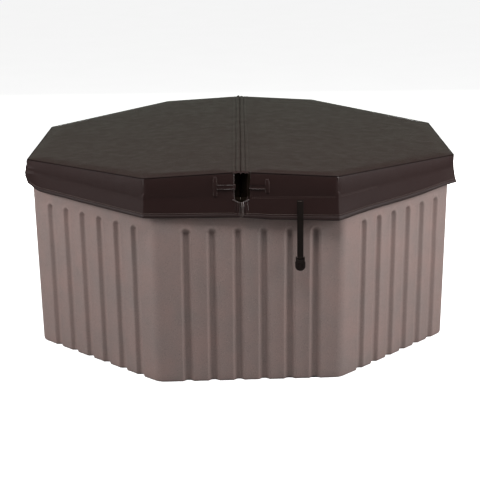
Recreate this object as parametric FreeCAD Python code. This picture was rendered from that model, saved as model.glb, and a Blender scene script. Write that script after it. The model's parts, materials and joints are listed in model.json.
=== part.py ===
"""Octagonal four-seat hot tub with a folding insulated cover, as an assembly of separate pieces.

Units are millimetres. +Z is up, the origin is the centre of the footprint on the floor,
and the front faces -Y. A one-piece roto-moulded cabinet with grooved walls carries a stepped
basin. The cover is two tapered foam halves in vinyl jackets, joined along the front-to-back
centre line, and held down by buckle straps.
"""

import math
import os

import FreeCAD
import Part

Vec = FreeCAD.Vector

# ---- driving dimensions --------------------------------------------------------------------------
SIDES = 8
HALF_TURN = math.radians(180 / SIDES)      # from a side's middle to its corner

CABINET_FLATS_BOTTOM = 1793
CABINET_FLATS_TOP = 1817
CABINET_TOP = 766
CABINET_WALL = 8
CORNER_BOTTOM = 62
CORNER_TOP = 54

GROOVES_PER_SIDE = 6
GROOVE_PITCH = 104
GROOVE_WIDTH = 40
GROOVE_DEPTH = 14
GROOVE_TOP = 655

RIM_TOP = 775
RIM_FLATS = 1840
RIM_BOTTOM = 722
RIM_CORNER = 58
DECK = 745
DECK_FLATS = 1740
DECK_CORNER = 85
SKIN = 8                                   # wall of the moulded basin

# the basin's inner profile, from the footwell floor up: flats, height, corner radius
BASIN_PROFILE = [(660, 60, 60), (770, 335, 80), (1280, 350, 120), (1580, DECK, 150)]
POD_HALF_WIDTH = 260                       # raised shelf at the back, for the filter and the controls
POD_FRONT = 610
POD_LOW = 300
SCOOP_RADIUS = 340                         # bucket seats on the four diagonals
SCOOP_REACH = 470
SCOOP_HEIGHT = 664
SEAT_ANGLES = [45, 135, 225, 315]
POWER_JET_RADIUS, POWER_JET_LENGTH, POWER_JET_TIP = 39.5, 58, -14
MINI_JET_RADIUS, MINI_JET_LENGTH, MINI_JET_TIP = 16.5, 42, 1
MINI_JET_SWINGS = (-24, 24)

COVER_FLATS = 1854
COVER_BOTTOM = RIM_TOP + 0.4
COVER_CENTRE = 887                         # top at the fold
COVER_EDGE = 833                           # top at the outer sides
FOLD_GAP = 54
VINYL = 2
LAYER_GAP = 0.3                            # between layers that lie on each other
SKIRT_BOTTOM = 706
SKIRT_FLARE = 6
HINGE_AXIS = COVER_CENTRE + 4

STRAP_OFFSET = 234
LEFT_STRAP_OFFSET = -290                   # clear of the right strap when the cover is folded over
STRAP_WIDTH = 25
STRAP_TOP = 771
STRAP_END = 532
BUCKLE_WIDTH = 41
BUCKLE_BOTTOM = 482
BAR_RADIUS = 2.2
WEB = 1.6                                  # thickness of the webbing
STRAP_STANDOFF = 3.3                       # from the skirt's hem to the webbing's middle

DOOR_HALF_WIDTH = 208.5
DOOR_LOW, DOOR_HIGH = 69.5, 590.5
DOOR_GAP = 2.5

PUMP_Y, PUMP_Z = 650, 120
MANIFOLD_RADIUS, MANIFOLD_Z, MANIFOLD_TUBE = 790, 400, 16
PIPE_WALL = 3

CLEAR = 0.4                                # between pieces that move past each other
FIT = 0.08                                 # radial clearance of a turning or sliding fit


# ---- shared shapes -------------------------------------------------------------------------------
def polar(radius, degrees, z=0.0):
    a = math.radians(degrees)
    return Vec(radius * math.cos(a), radius * math.sin(a), z)


def octagon_wire(flats, z, corner):
    """A closed wire of eight sides with round corners. The sides face 0, 45, 90 ... degrees."""
    reach = flats / 2 / math.cos(HALF_TURN)
    back = corner * math.tan(HALF_TURN)
    arcs = []
    for k in range(SIDES):
        tip = polar(reach, 360 / SIDES * (k + 0.5), z)
        before = polar(1, 360 / SIDES * (k + 0.5) - 90 - 180 / SIDES)
        after = polar(1, 360 / SIDES * (k + 0.5) + 90 + 180 / SIDES)
        middle = polar(reach - corner / math.cos(HALF_TURN) + corner, 360 / SIDES * (k + 0.5), z)
        arcs.append((tip + before * back, middle, tip + after * back))
    edges = []
    for k, (start, middle, end) in enumerate(arcs):
        edges.append(Part.Arc(start, middle, end).toShape())
        edges.append(Part.makeLine(end, arcs[(k + 1) % SIDES][0]))
    return Part.Wire(edges)


def octagon_loft(sections):
    """A solid through (flats, z, corner) sections, from the lowest to the highest."""
    return Part.makeLoft([octagon_wire(*s) for s in sections], True, True)


def box(x0, x1, y0, y1, z0, z1):
    return Part.makeBox(x1 - x0, y1 - y0, z1 - z0, Vec(x0, y0, z0))


def rod(radius, start, end):
    return Part.makeCylinder(radius, (end - start).Length, start, end - start)


def turned(shape, degrees, about=Vec(0, 0, 0)):
    copy = shape.copy()
    copy.rotate(about, Vec(0, 0, 1), degrees)
    return copy


def aimed(shape, place, direction):
    """A shape made about +Z from the origin, moved so that its +Z points along direction."""
    copy = shape.copy()
    copy.Placement = FreeCAD.Placement(place, FreeCAD.Rotation(Vec(0, 0, 1), direction))
    return copy


def pipe(points, radius):
    """A hollow pipe of straight runs joined by tangent arcs as large as the runs allow."""
    return swept_rod(points, radius).cut(swept_rod(points, radius - PIPE_WALL))


def swept_rod(points, radius):
    edges = []
    here = points[0]
    for before, corner, after in zip(points, points[1:], points[2:]):
        a, b = before - corner, after - corner
        turn = math.pi - a.getAngle(b)
        back = 0.45 * min(a.Length, b.Length)
        start = corner + a * (back / a.Length)
        end = corner + b * (back / b.Length)
        bisector = (a * (1 / a.Length) + b * (1 / b.Length))
        bisector = bisector * (1 / bisector.Length)
        bend = back / math.tan(turn / 2)
        middle = corner + bisector * (bend / math.cos(turn / 2) - bend)
        edges.append(Part.makeLine(here, start))
        edges.append(Part.Arc(start, middle, end).toShape())
        here = end
    edges.append(Part.makeLine(here, points[-1]))
    path = Part.Wire(edges)
    first = points[1] - points[0]
    section = Part.Wire([Part.makeCircle(radius, points[0], first)])
    return path.makePipeShell([section], True, False)


# ---- cabinet -------------------------------------------------------------------------------------
CABINET_LEAN = (CABINET_FLATS_TOP - CABINET_FLATS_BOTTOM) / 2 / CABINET_TOP


def cabinet_half(z):
    """Half the flat-to-flat width of the cabinet's outside at a height."""
    return CABINET_FLATS_BOTTOM / 2 + CABINET_LEAN * z


def cabinet_body(inset, low, high):
    corner_low, corner_high = CORNER_BOTTOM - inset, CORNER_TOP - inset
    return octagon_loft([
        (2 * (cabinet_half(low) - inset), low, corner_low),
        (2 * (cabinet_half(high) - inset), high, corner_high),
    ])


def groove(radius_extra):
    """One round-ended groove cutter on the side that faces +X, centred on that side."""
    radius = (GROOVE_WIDTH ** 2 / 4 + GROOVE_DEPTH ** 2) / (2 * GROOVE_DEPTH)
    outside = radius - GROOVE_DEPTH
    start_z = -40
    end_z = GROOVE_TOP - radius
    start = Vec(cabinet_half(start_z) + outside, 0, start_z)
    end = Vec(cabinet_half(end_z) + outside, 0, end_z)
    r = radius + radius_extra
    length = (end - start).Length
    tip = Vec(0, 0, length + r)
    shoulder = Vec(r * math.cos(math.pi / 4), 0, length + r * math.sin(math.pi / 4))
    profile = Part.Wire([
        Part.makeLine(Vec(0, 0, 0), Vec(r, 0, 0)),
        Part.makeLine(Vec(r, 0, 0), Vec(r, 0, length)),
        Part.Arc(Vec(r, 0, length), shoulder, tip).toShape(),
        Part.makeLine(tip, Vec(0, 0, 0)),
    ])
    bullet = Part.Face(profile).revolve(Vec(0, 0, 0), Vec(0, 0, 1), 360)
    return aimed(bullet, start, end - start)


def all_grooves(radius_extra):
    one = groove(radius_extra)
    made = []
    for side in range(SIDES):
        for n in range(GROOVES_PER_SIDE):
            cutter = one.copy()
            cutter.translate(Vec(0, GROOVE_PITCH * (n - (GROOVES_PER_SIDE - 1) / 2), 0))
            made.append(turned(cutter, 360 / SIDES * side))
    return made


DOOR_FRAME_DEPTH = 40
THROUGH = 60                               # how far a cutter runs past either face of the back wall
PEG_X, PEG_Z, PEG_RADIUS = 160, 100, 5
SCREW_X, SCREW_Z, SCREW_RADIUS = 194, 545, 4
BOSS_RADIUS = 9
GLAND_X, GLAND_Z, GLAND_HOLE = -318, 90, 12
DRAIN_X, DRAIN_Z, DRAIN_HOLE = 318, 70, 17
DRAIN_RADIUS = 13


def door_frame(back, x, low, high):
    """The ledged frame round the door's opening, x to either side and from low to high."""
    edge, gauge, ledge, setback = 9, 7, 26, 2
    inner = back - DOOR_FRAME_DEPTH
    frame = box(-x - edge, x + edge, inner, back + THROUGH, low - edge, high + edge)
    frame = frame.common(cabinet_body(setback, 0, CABINET_TOP))
    frame = frame.cut(box(-x, x, inner + gauge, back + THROUGH, low, high))
    window = x - ledge
    return frame.cut(box(-window, window, back - THROUGH, back + THROUGH, low + ledge, high - ledge))


def cabinet_and_door():
    """The moulded wall, with a framed opening at the back, and the piece that closes it."""
    past = 2
    cavity = cabinet_body(CABINET_WALL, -past, CABINET_TOP + past).cut(all_grooves(CABINET_WALL))
    wall = cabinet_body(0, 0, CABINET_TOP).cut(cavity).cut(all_grooves(0))

    back = cabinet_half(DOOR_LOW)
    door_box = box(-DOOR_HALF_WIDTH, DOOR_HALF_WIDTH, back - THROUGH, back + THROUGH, DOOR_LOW, DOOR_HIGH)
    door = wall.common(door_box)

    x, low, high = DOOR_HALF_WIDTH + DOOR_GAP, DOOR_LOW - DOOR_GAP, DOOR_HIGH + DOOR_GAP
    opening = box(-x, x, back - THROUGH, back + THROUGH, low, high)
    cabinet = wall.cut(opening).fuse(door_frame(back, x, low, high)).cut(all_grooves(0))

    inner = back - DOOR_FRAME_DEPTH
    beyond = inner - 10
    peg_start, peg_end = back - 12, inner - 4
    boss_start, boss_end = cabinet_half(SCREW_Z) - 4, inner + 8
    screw_start = back + 30
    for sx in (-1, 1):
        peg = rod(PEG_RADIUS, Vec(sx * PEG_X, peg_start, PEG_Z), Vec(sx * PEG_X, peg_end, PEG_Z))
        boss_axis = (Vec(sx * SCREW_X, boss_start, SCREW_Z), Vec(sx * SCREW_X, boss_end, SCREW_Z))
        boss = rod(BOSS_RADIUS, *boss_axis)
        hole = rod(PEG_RADIUS + CLEAR, Vec(sx * PEG_X, back, PEG_Z), Vec(sx * PEG_X, beyond, PEG_Z))
        screw_axis = (Vec(sx * SCREW_X, screw_start, SCREW_Z), Vec(sx * SCREW_X, beyond, SCREW_Z))
        screw_hole = rod(SCREW_RADIUS + FIT, *screw_axis)
        door = door.fuse(peg).fuse(boss).cut(screw_hole)
        cabinet = cabinet.cut(hole).cut(screw_hole)
    for at_x, at_z, radius in ((GLAND_X, GLAND_Z, GLAND_HOLE), (DRAIN_X, DRAIN_Z, DRAIN_HOLE)):
        cabinet = cabinet.cut(rod(radius, Vec(at_x, back - THROUGH, at_z), Vec(at_x, back + THROUGH, at_z)))
    return cabinet, door


def door_screw(side):
    """A quarter-turn fastener: a knurled head outside the door and a stem through the frame."""
    head_radius, head_height, knurls, knurl_radius = 13, 9, 10, 2.2
    slot_half_length, slot_half_width, slot_floor = 9, 1.2, 6
    stem_length = 52
    face = cabinet_half(SCREW_Z)
    place = Vec(side * SCREW_X, face + CLEAR, SCREW_Z)
    head = rod(head_radius, place, place + Vec(0, head_height, 0))
    for k in range(knurls):
        a = math.radians(360 / knurls * k)
        notch = place + Vec((head_radius + 1) * math.cos(a), -1, (head_radius + 1) * math.sin(a))
        head = head.cut(rod(knurl_radius, notch, notch + Vec(0, head_height + 3, 0)))
    slot = box(place.x - slot_half_length, place.x + slot_half_length, place.y + slot_floor,
               place.y + head_height + 1, place.z - slot_half_width, place.z + slot_half_width)
    stem = rod(SCREW_RADIUS, place, Vec(place.x, face - stem_length, place.z))
    return head.cut(slot).fuse(stem)


def base_pan():
    """A shallow tray under everything, inside the cabinet's wall."""
    floor, height, gauge, gap = 6, 34, 5, 4
    corner = 50
    flats = CABINET_FLATS_BOTTOM - 2 * (GROOVE_DEPTH + CABINET_WALL + gap)
    inner_flats = flats - 2 * gauge
    outside = octagon_loft([(flats, 0, corner), (flats, height, corner)])
    inner_corner = corner - gauge
    inside = octagon_loft([(inner_flats, floor, inner_corner), (inner_flats, height + floor, inner_corner)])
    return outside.cut(inside)


def cord_gland():
    """A threaded cable gland through the cabinet's back wall: body, outer nut and lock nut in one piece."""
    body_radius, flange_radius, nut_radius, bore = 11.6, 17, 16, 6
    face = cabinet_half(GLAND_Z)
    inside, outside = face - CABINET_WALL - 20, face + 16
    flange_back, flange_front = face + 0.5, face + 5
    nut_back, nut_front = inside + 6, inside + 12
    past = Vec(0, 5, 0)
    start, end = Vec(GLAND_X, inside, GLAND_Z), Vec(GLAND_X, outside, GLAND_Z)
    body = rod(body_radius, start, end)
    flange = rod(flange_radius, Vec(GLAND_X, flange_back, GLAND_Z), Vec(GLAND_X, flange_front, GLAND_Z))
    nut = rod(nut_radius, Vec(GLAND_X, nut_back, GLAND_Z), Vec(GLAND_X, nut_front, GLAND_Z))
    return body.fuse(flange).fuse(nut).cut(rod(bore, start - past, end + past))


def drain_body():
    """A flanged outlet through the cabinet's wall, with an elbow up inside it."""
    radius, flange_radius, bore, elbow_rise = DRAIN_RADIUS, 24, 9, 40
    inside, outside, bore_start, past = 60, 10, 20, 5
    face = cabinet_half(DRAIN_Z)
    start, end = Vec(DRAIN_X, face - inside, DRAIN_Z), Vec(DRAIN_X, face + outside, DRAIN_Z)
    flange_back, flange_front = face + 0.5, face + 4
    body = rod(radius, start, end)
    flange = rod(flange_radius, Vec(DRAIN_X, flange_back, DRAIN_Z), Vec(DRAIN_X, flange_front, DRAIN_Z))
    elbow = rod(radius, start, start + Vec(0, 0, elbow_rise))
    hole = rod(bore, start + Vec(0, bore_start, 0), end + Vec(0, past, 0))
    return body.fuse(flange).fuse(elbow).cut(hole)


def drain_cap():
    """A fluted cap that screws over the outlet."""
    radius, back, front, crown, flutes, flute_radius = 18, 4.5, 20, 5, 12, 1.8
    face = cabinet_half(DRAIN_Z)
    start, end = Vec(DRAIN_X, face + back, DRAIN_Z), Vec(DRAIN_X, face + front, DRAIN_Z)
    cap = rod(radius, start, end).cut(rod(DRAIN_RADIUS + FIT, start - Vec(0, 1, 0), end - Vec(0, crown, 0)))
    reach = radius + 0.8
    for k in range(flutes):
        a = math.radians(360 / flutes * k)
        notch = start + Vec(reach * math.cos(a), -1, reach * math.sin(a))
        cap = cap.cut(rod(flute_radius, notch, notch + Vec(0, front, 0)))
    return cap


# ---- basin ---------------------------------------------------------------------------------------
def bowl(offset):
    """The stepped bathing space, grown outwards by offset, with the shelf and the bucket seats."""
    grown = [(flats + 2 * offset, z - offset, corner) for flats, z, corner in BASIN_PROFILE]
    top_flats, top_z, top_corner = grown.pop()
    above_rim = RIM_TOP + 5
    limit = above_rim if offset == 0 else DECK - SKIN / 2
    grown.append((top_flats, min(limit, DECK), top_corner))
    if offset == 0:
        grown.append((top_flats + 4, above_rim, top_corner))
    made = octagon_loft(grown)
    far = RIM_FLATS / 2
    for angle in SEAT_ANGLES:
        scoop = Part.makeSphere(SCOOP_RADIUS + offset, polar(SCOOP_REACH, angle, SCOOP_HEIGHT))
        made = made.fuse(scoop.common(box(-far, far, -far, far, 0, limit)))
    half = POD_HALF_WIDTH - offset
    pod = box(-half, half, POD_FRONT + offset, far, POD_LOW, DECK - offset)
    return made.cut(pod)


def basin_shell():
    """The rim, its inside channel, the deck and the bowl, all one skin, with its round holes."""
    past = 5
    channel_flats, step_flats = RIM_FLATS - 2 * SKIN, DECK_FLATS + 2 * SKIN
    rim = octagon_loft([(RIM_FLATS, RIM_BOTTOM, RIM_CORNER), (RIM_FLATS, RIM_TOP, RIM_CORNER)])
    channel_corner = RIM_CORNER - SKIN
    channel = octagon_loft([(channel_flats, RIM_BOTTOM - 1, channel_corner),
                            (channel_flats, RIM_TOP - SKIN, channel_corner)])
    step_corner = DECK_CORNER + past
    step = octagon_loft([(step_flats, DECK - SKIN, step_corner), (step_flats, RIM_TOP, step_corner)])
    recess = octagon_loft([(DECK_FLATS, DECK, DECK_CORNER), (DECK_FLATS, RIM_TOP + past, DECK_CORNER)])
    shell = rim.cut(channel.cut(step)).fuse(bowl(SKIN)).cut(recess).cut(bowl(0))
    through = 40
    for place, direction, radius in wall_holes():
        shell = shell.cut(rod(radius, place - direction * through, place + direction * through))
    return shell


def seat_point(angle, swing, tip):
    """A point on a bucket seat's back, and the direction out through the wall there."""
    direction = polar(math.cos(math.radians(tip)), angle + swing, math.sin(math.radians(tip)))
    return polar(SCOOP_REACH, angle, SCOOP_HEIGHT) + direction * SCOOP_RADIUS, direction


def power_jets():
    """One large jet low in the middle of each seat's back."""
    return [seat_point(angle, 0, POWER_JET_TIP) for angle in SEAT_ANGLES]


def mini_jets():
    """Two small jets at each seat's shoulders."""
    return [seat_point(angle, swing, MINI_JET_TIP) for angle in SEAT_ANGLES for swing in MINI_JET_SWINGS]


FOOTWELL_OUT = (BASIN_PROFILE[1][0] - BASIN_PROFILE[0][0]) / 2
FOOTWELL_RISE = BASIN_PROFILE[1][1] - BASIN_PROFILE[0][1]
FOOTWELL_LEAN = math.atan2(FOOTWELL_OUT, FOOTWELL_RISE)


def footwell_point(angle, along, z):
    """A point on the footwell's wall, and the direction out through it."""
    half = BASIN_PROFILE[0][0] / 2 + (z - BASIN_PROFILE[0][1]) * math.tan(FOOTWELL_LEAN)
    out = polar(math.cos(FOOTWELL_LEAN), angle, -math.sin(FOOTWELL_LEAN))
    return polar(half, angle, z) + polar(along, angle + 90), out


SUCTIONS = [(180, 0, 140), (90, 60, 140)]  # angle, place along the wall, height
SUCTION_RADIUS = 24
LIGHT = (90, -60, 215)
LIGHT_RADIUS = 37
VALVES = [(0, 30), (180, 21), (270, 21)]   # angle, knob radius: the diverter, then two air controls
VALVE_RING, VALVE_RADIUS, VALVE_STEM = 832, 13.6, 6
FILTER_X, FILTER_Y = 120, 700
LID_PLUG_RADIUS = 65
PANEL_X, PANEL_Y = -120, 690
WEIR_LOW, WEIR_HIGH = 600, 690
WEIR_HALF_WIDTH = 60
BUTTON_SPACING, BUTTON_RADIUS, BUTTON_BACK = 40, 13, 18


def wall_holes():
    """Every round hole through the basin's skin: (place, direction, radius)."""
    holes = [(place, out, POWER_JET_RADIUS + 0.5) for place, out in power_jets()]
    holes += [(place, out, MINI_JET_RADIUS + 0.5) for place, out in mini_jets()]
    holes += [(*footwell_point(*s), SUCTION_RADIUS + 1) for s in SUCTIONS]
    holes += [(*footwell_point(*LIGHT), LIGHT_RADIUS + 1)]
    holes += [(polar(VALVE_RING, angle, DECK), Vec(0, 0, 1), VALVE_RADIUS + 0.4) for angle, _ in VALVES]
    holes += [(Vec(FILTER_X, FILTER_Y, DECK), Vec(0, 0, 1), LID_PLUG_RADIUS + 1)]
    return holes


def basin_with_weir():
    """The basin with the skimmer's mouth cut through the front of the shelf."""
    through = 20
    mouth = box(FILTER_X - WEIR_HALF_WIDTH, FILTER_X + WEIR_HALF_WIDTH,
                POD_FRONT - through, POD_FRONT + through, WEIR_LOW, WEIR_HIGH)
    return basin_shell().cut(mouth)


def rim_screws():
    """Pan-head screws through the basin's lip into the cabinet, two on each side."""
    spacing, height = 360, 742
    head_radius, head_height, stem_radius, stem_length = 6, 2.2, 2.4, 24
    face = RIM_FLATS / 2
    made = []
    for side in range(SIDES):
        for offset in (-spacing / 2, spacing / 2):
            head = rod(head_radius, Vec(face, offset, height), Vec(face + head_height, offset, height))
            stem = rod(stem_radius, Vec(face, offset, height), Vec(face - stem_length, offset, height))
            made.append(turned(head.fuse(stem), 360 / SIDES * side))
    return Part.makeCompound(made)


def jet_housing(place, out, radius, length):
    """A moulded housing behind the skin: barrel, clamping nut and hose barb."""
    gauge, end_gauge, nut_flange, nut_start, nut_end = 4, 5, 6, SKIN + 5, SKIN + 13
    barb_radius, barb_length = 9, 12
    barrel = rod(radius, place - out, place + out * length)
    hollow = rod(radius - gauge, place - out * 2, place + out * (length - end_gauge))
    nut = rod(radius + nut_flange, place + out * nut_start, place + out * nut_end)
    barb = rod(barb_radius, place + out * length, place + out * (length + barb_length))
    return barrel.fuse(nut).fuse(barb).cut(hollow)


def jet_bodies():
    """Moulded jet housings behind the seat backs, four large and eight small."""
    made = [jet_housing(place, out, POWER_JET_RADIUS, POWER_JET_LENGTH) for place, out in power_jets()]
    made += [jet_housing(place, out, MINI_JET_RADIUS, MINI_JET_LENGTH) for place, out in mini_jets()]
    return Part.makeCompound(made)


def mini_jet_faces():
    """The small jets' trim: a flared flange and a stem that pushes into the housing."""
    front_radius, back_radius, flange, proud = 17, 21, 4, 5.4
    stem_radius, stem_start, stem_end, bore = 11.8, 3, 24, 5
    bore_start, bore_end = 10, 40
    made = []
    for place, out in mini_jets():
        trim = Part.makeCone(front_radius, back_radius, flange, place - out * proud, out)
        stem = rod(stem_radius, place - out * stem_start, place + out * stem_end)
        hole = rod(bore, place - out * bore_start, place + out * bore_end)
        made.append(trim.fuse(stem).cut(hole))
    return Part.makeCompound(made)


def spoke_directions(out, count):
    """Unit directions square to out, evenly spread."""
    across = out.cross(Vec(0, 0, 1)).normalize()
    up = across.cross(out).normalize()
    turns = [math.radians(360 / count * k) for k in range(count)]
    return [across * math.cos(a) + up * math.sin(a) for a in turns]


def jet_nozzle(place, out):
    """A power jet's turning face: a dished flange with finger ribs and a hollow nozzle."""
    front_radius, back_radius, flange, proud = 40, 48, 7, 11
    dish_front, dish_back, dish_depth = 30, 22, 6
    stem_start, stem_end, bore, bore_start, bore_end = 5, 30, 13, 20, 60
    ribs, rib_radius, rib_depth, rib_inner, rib_outer = 3, 3, 7, 11, 31
    face = Part.makeCone(front_radius, back_radius, flange, place - out * proud, out)
    dish = Part.makeCone(dish_front, dish_back, dish_depth, place - out * (proud + 0.5), out)
    stem = rod(POWER_JET_RADIUS - 4 - FIT, place - out * stem_start, place + out * stem_end)
    made = face.cut(dish).fuse(stem).cut(rod(bore, place - out * bore_start, place + out * bore_end))
    start = place - out * rib_depth
    for arm in spoke_directions(out, ribs):
        made = made.fuse(rod(rib_radius, start + arm * rib_inner, start + arm * rib_outer))
    return made


def suction_covers():
    """Domed grilles over the two suctions, each with a throat through the skin and a ring of slots."""
    front_radius, back_radius, dome_height, proud = 42, 54, 13, 13.5
    throat_start, throat_end, bore, bore_start, bore_end = 4, 46, 19, 8, 60
    holes, hole_radius, hole_ring, hole_start, hole_end = 16, 3, 32, 20, 4
    made = []
    for s in SUCTIONS:
        place, out = footwell_point(*s)
        dome = Part.makeCone(front_radius, back_radius, dome_height, place - out * proud, out)
        throat = rod(SUCTION_RADIUS, place - out * throat_start, place + out * throat_end)
        cover = dome.fuse(throat).cut(rod(bore, place - out * bore_start, place + out * bore_end))
        for arm in spoke_directions(out, holes):
            ring = place + arm * hole_ring
            cover = cover.cut(rod(hole_radius, ring - out * hole_start, ring - out * hole_end))
        made.append(cover)
    return Part.makeCompound(made)


def light_lens():
    """The underwater light: a bezel, a barrel through the skin and a shallow dome."""
    front_radius, back_radius, bezel_height, proud = 44, 50, 6, 6.4
    barrel_start, barrel_end = 3, 30
    dome_radius, dome_centre, dome_start, dome_end = 60, 44, 30, 2
    place, out = footwell_point(*LIGHT)
    bezel = Part.makeCone(front_radius, back_radius, bezel_height, place - out * proud, out)
    barrel = rod(LIGHT_RADIUS, place - out * barrel_start, place + out * barrel_end)
    limit = rod(LIGHT_RADIUS - 1, place - out * dome_start, place - out * dome_end)
    dome = Part.makeSphere(dome_radius, place + out * dome_centre).common(limit)
    return bezel.fuse(barrel).fuse(dome)


# ---- filter, valves and topside controls ---------------------------------------------------------
CANISTER_LOW = 430
WEIR_PIN_Z = WEIR_LOW + 6
WEIR_PIN_BACK = 14
WEIR_PIN = 3
CARTRIDGE_TOP = 594


def at_filter(z):
    return Vec(FILTER_X, FILTER_Y, z)


def filter_canister():
    """The pot under the shelf, with the skimmer's throat in front and an outlet below."""
    radius, gauge, floor = 75, 5, 5
    outlet_radius, outlet_bore, outlet_drop, overlap = 20, 16, 22, 2
    side_gauge, pin_reach = 4, WEIR_HALF_WIDTH + 10
    pin_y = POD_FRONT + WEIR_PIN_BACK
    left, right = FILTER_X - WEIR_HALF_WIDTH, FILTER_X + WEIR_HALF_WIDTH
    outside = rod(radius, at_filter(CANISTER_LOW), at_filter(DECK - SKIN - 0.5))
    throat = box(left - side_gauge, right + side_gauge, POD_FRONT + SKIN + 0.5, FILTER_Y,
                 WEIR_LOW - gauge, WEIR_HIGH + gauge)
    inside = rod(radius - gauge, at_filter(CANISTER_LOW + floor), at_filter(DECK + floor))
    mouth = box(left, right, POD_FRONT, FILTER_Y, WEIR_LOW, WEIR_HIGH)
    outlet = rod(outlet_radius, at_filter(CANISTER_LOW - outlet_drop), at_filter(CANISTER_LOW + overlap))
    pin_holes = rod(WEIR_PIN + FIT, Vec(FILTER_X - pin_reach, pin_y, WEIR_PIN_Z),
                    Vec(FILTER_X + pin_reach, pin_y, WEIR_PIN_Z))
    drain = rod(outlet_bore, at_filter(CANISTER_LOW - outlet_drop - 8), at_filter(CANISTER_LOW + 8))
    return outside.fuse(throat).fuse(outlet).cut(inside).cut(mouth).cut(pin_holes).cut(drain)


def filter_cartridge():
    """A pleated cartridge with two end caps."""
    pleats, pleat_outer, pleat_inner = 40, 60, 50
    cap_radius, cap, core_radius, past = 63, 8, 22, 5
    low = CANISTER_LOW + 6
    points = []
    for k in range(2 * pleats):
        radius = pleat_outer if k % 2 == 0 else pleat_inner
        points.append(polar(radius, 180 / pleats * k, low + cap) + at_filter(0))
    height = CARTRIDGE_TOP - low - 2 * cap
    media = Part.Face(Part.makePolygon(points + points[:1])).extrude(Vec(0, 0, height))
    caps = [rod(cap_radius, at_filter(z), at_filter(z + cap)) for z in (low, CARTRIDGE_TOP - cap)]
    core = rod(core_radius, at_filter(low - past), at_filter(CARTRIDGE_TOP + past))
    return media.fuse(caps).cut(core)


def filter_lid():
    """A bayonet lid on the shelf, with a finger bar across a dished centre."""
    low_radius, top_radius, height = 84, 80, 9
    dish_low, dish_top, dish_depth = 46, 62, 5
    bar_half_length, bar_half_width, bar_low, bar_high = 56, 6, DECK + 4, DECK + 13
    plug_depth, plug_gauge = 14, 5
    centre = at_filter(DECK + CLEAR)
    disc = Part.makeCone(low_radius, top_radius, height, centre, Vec(0, 0, 1))
    dish = Part.makeCone(dish_low, dish_top, dish_depth, centre + Vec(0, 0, height - 4), Vec(0, 0, 1))
    bar = box(FILTER_X - bar_half_length, FILTER_X + bar_half_length,
              FILTER_Y - bar_half_width, FILTER_Y + bar_half_width, bar_low, bar_high)
    plug = rod(LID_PLUG_RADIUS, centre - Vec(0, 0, plug_depth), centre)
    bore = rod(LID_PLUG_RADIUS - plug_gauge, centre - Vec(0, 0, plug_depth + 1), centre - Vec(0, 0, 1))
    return disc.cut(dish).fuse(bar).fuse(plug).cut(bore)


def weir_flap():
    """A floating gate, hinged on a pin along its lower edge and standing in the skimmer's mouth."""
    side_gap, half_gauge, top_gap, pin_reach = 4, 2, 6, 7.5
    float_inset, float_back, float_low, float_high = 8, 8, 26, 8
    pin_y = POD_FRONT + WEIR_PIN_BACK
    half = WEIR_HALF_WIDTH - side_gap
    left, right = FILTER_X - half, FILTER_X + half
    gate = box(left, right, pin_y - half_gauge, pin_y + half_gauge, WEIR_PIN_Z, WEIR_HIGH - top_gap)
    float_bar = box(left + float_inset, right - float_inset, pin_y - float_back, pin_y,
                    WEIR_HIGH - float_low, WEIR_HIGH - float_high)
    pin = rod(WEIR_PIN, Vec(left - pin_reach, pin_y, WEIR_PIN_Z), Vec(right + pin_reach, pin_y, WEIR_PIN_Z))
    return gate.fuse(float_bar).fuse(pin)


def valve_bodies():
    """Threaded barrels hung through the rim under each knob, with their clamping nuts."""
    nut_radius, barrel_depth, bore_depth, past = 19, 70, 40, 5
    made = []
    for angle, _ in VALVES:
        place = polar(VALVE_RING, angle, DECK)
        barrel = rod(VALVE_RADIUS, place - Vec(0, 0, barrel_depth), place + Vec(0, 0, 1))
        nut = rod(nut_radius, place - Vec(0, 0, SKIN + 8), place - Vec(0, 0, SKIN + 0.5))
        bore = rod(VALVE_STEM, place - Vec(0, 0, bore_depth), place + Vec(0, 0, past))
        made.append(barrel.fuse(nut).cut(bore))
    return Part.makeCompound(made)


def valve_knob(angle, radius):
    """A fluted knob on a stem that drops into its valve body. Its grip is in proportion to its radius."""
    gap, skirt_height, grip_height, flutes = 1.5, 7, 13, 9
    grip_low, grip_top, flute_ring, flute_radius = 0.66, 0.58, 0.72, 0.13
    pointer_start, pointer_half_width, pointer_height = 0.3, 1.6, 10
    stem_depth = 30
    place = polar(VALVE_RING, angle, DECK)
    base = place + Vec(0, 0, gap)
    skirt = Part.makeCone(radius, radius - 2, skirt_height, base, Vec(0, 0, 1))
    grip_base = base + Vec(0, 0, skirt_height - 1)
    grip = Part.makeCone(radius * grip_low, radius * grip_top, grip_height, grip_base, Vec(0, 0, 1))
    for k in range(flutes):
        notch = base + Vec(0, 0, skirt_height + 0.5) + polar(radius * flute_ring, 360 / flutes * k)
        grip = grip.cut(rod(radius * flute_radius, notch, notch + Vec(0, 0, 20)))
    pointer = box(radius * pointer_start, radius - 1,
                  -pointer_half_width, pointer_half_width, 0, pointer_height)
    pointer.translate(base)
    stem = rod(VALVE_STEM - FIT, place - Vec(0, 0, stem_depth), base + Vec(0, 0, 3))
    return skirt.fuse(grip).fuse(turned(pointer, angle, base)).fuse(stem)


def button_centres():
    return [Vec(PANEL_X + BUTTON_SPACING * (k - 1), PANEL_Y - BUTTON_BACK, DECK) for k in range(3)]


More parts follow.
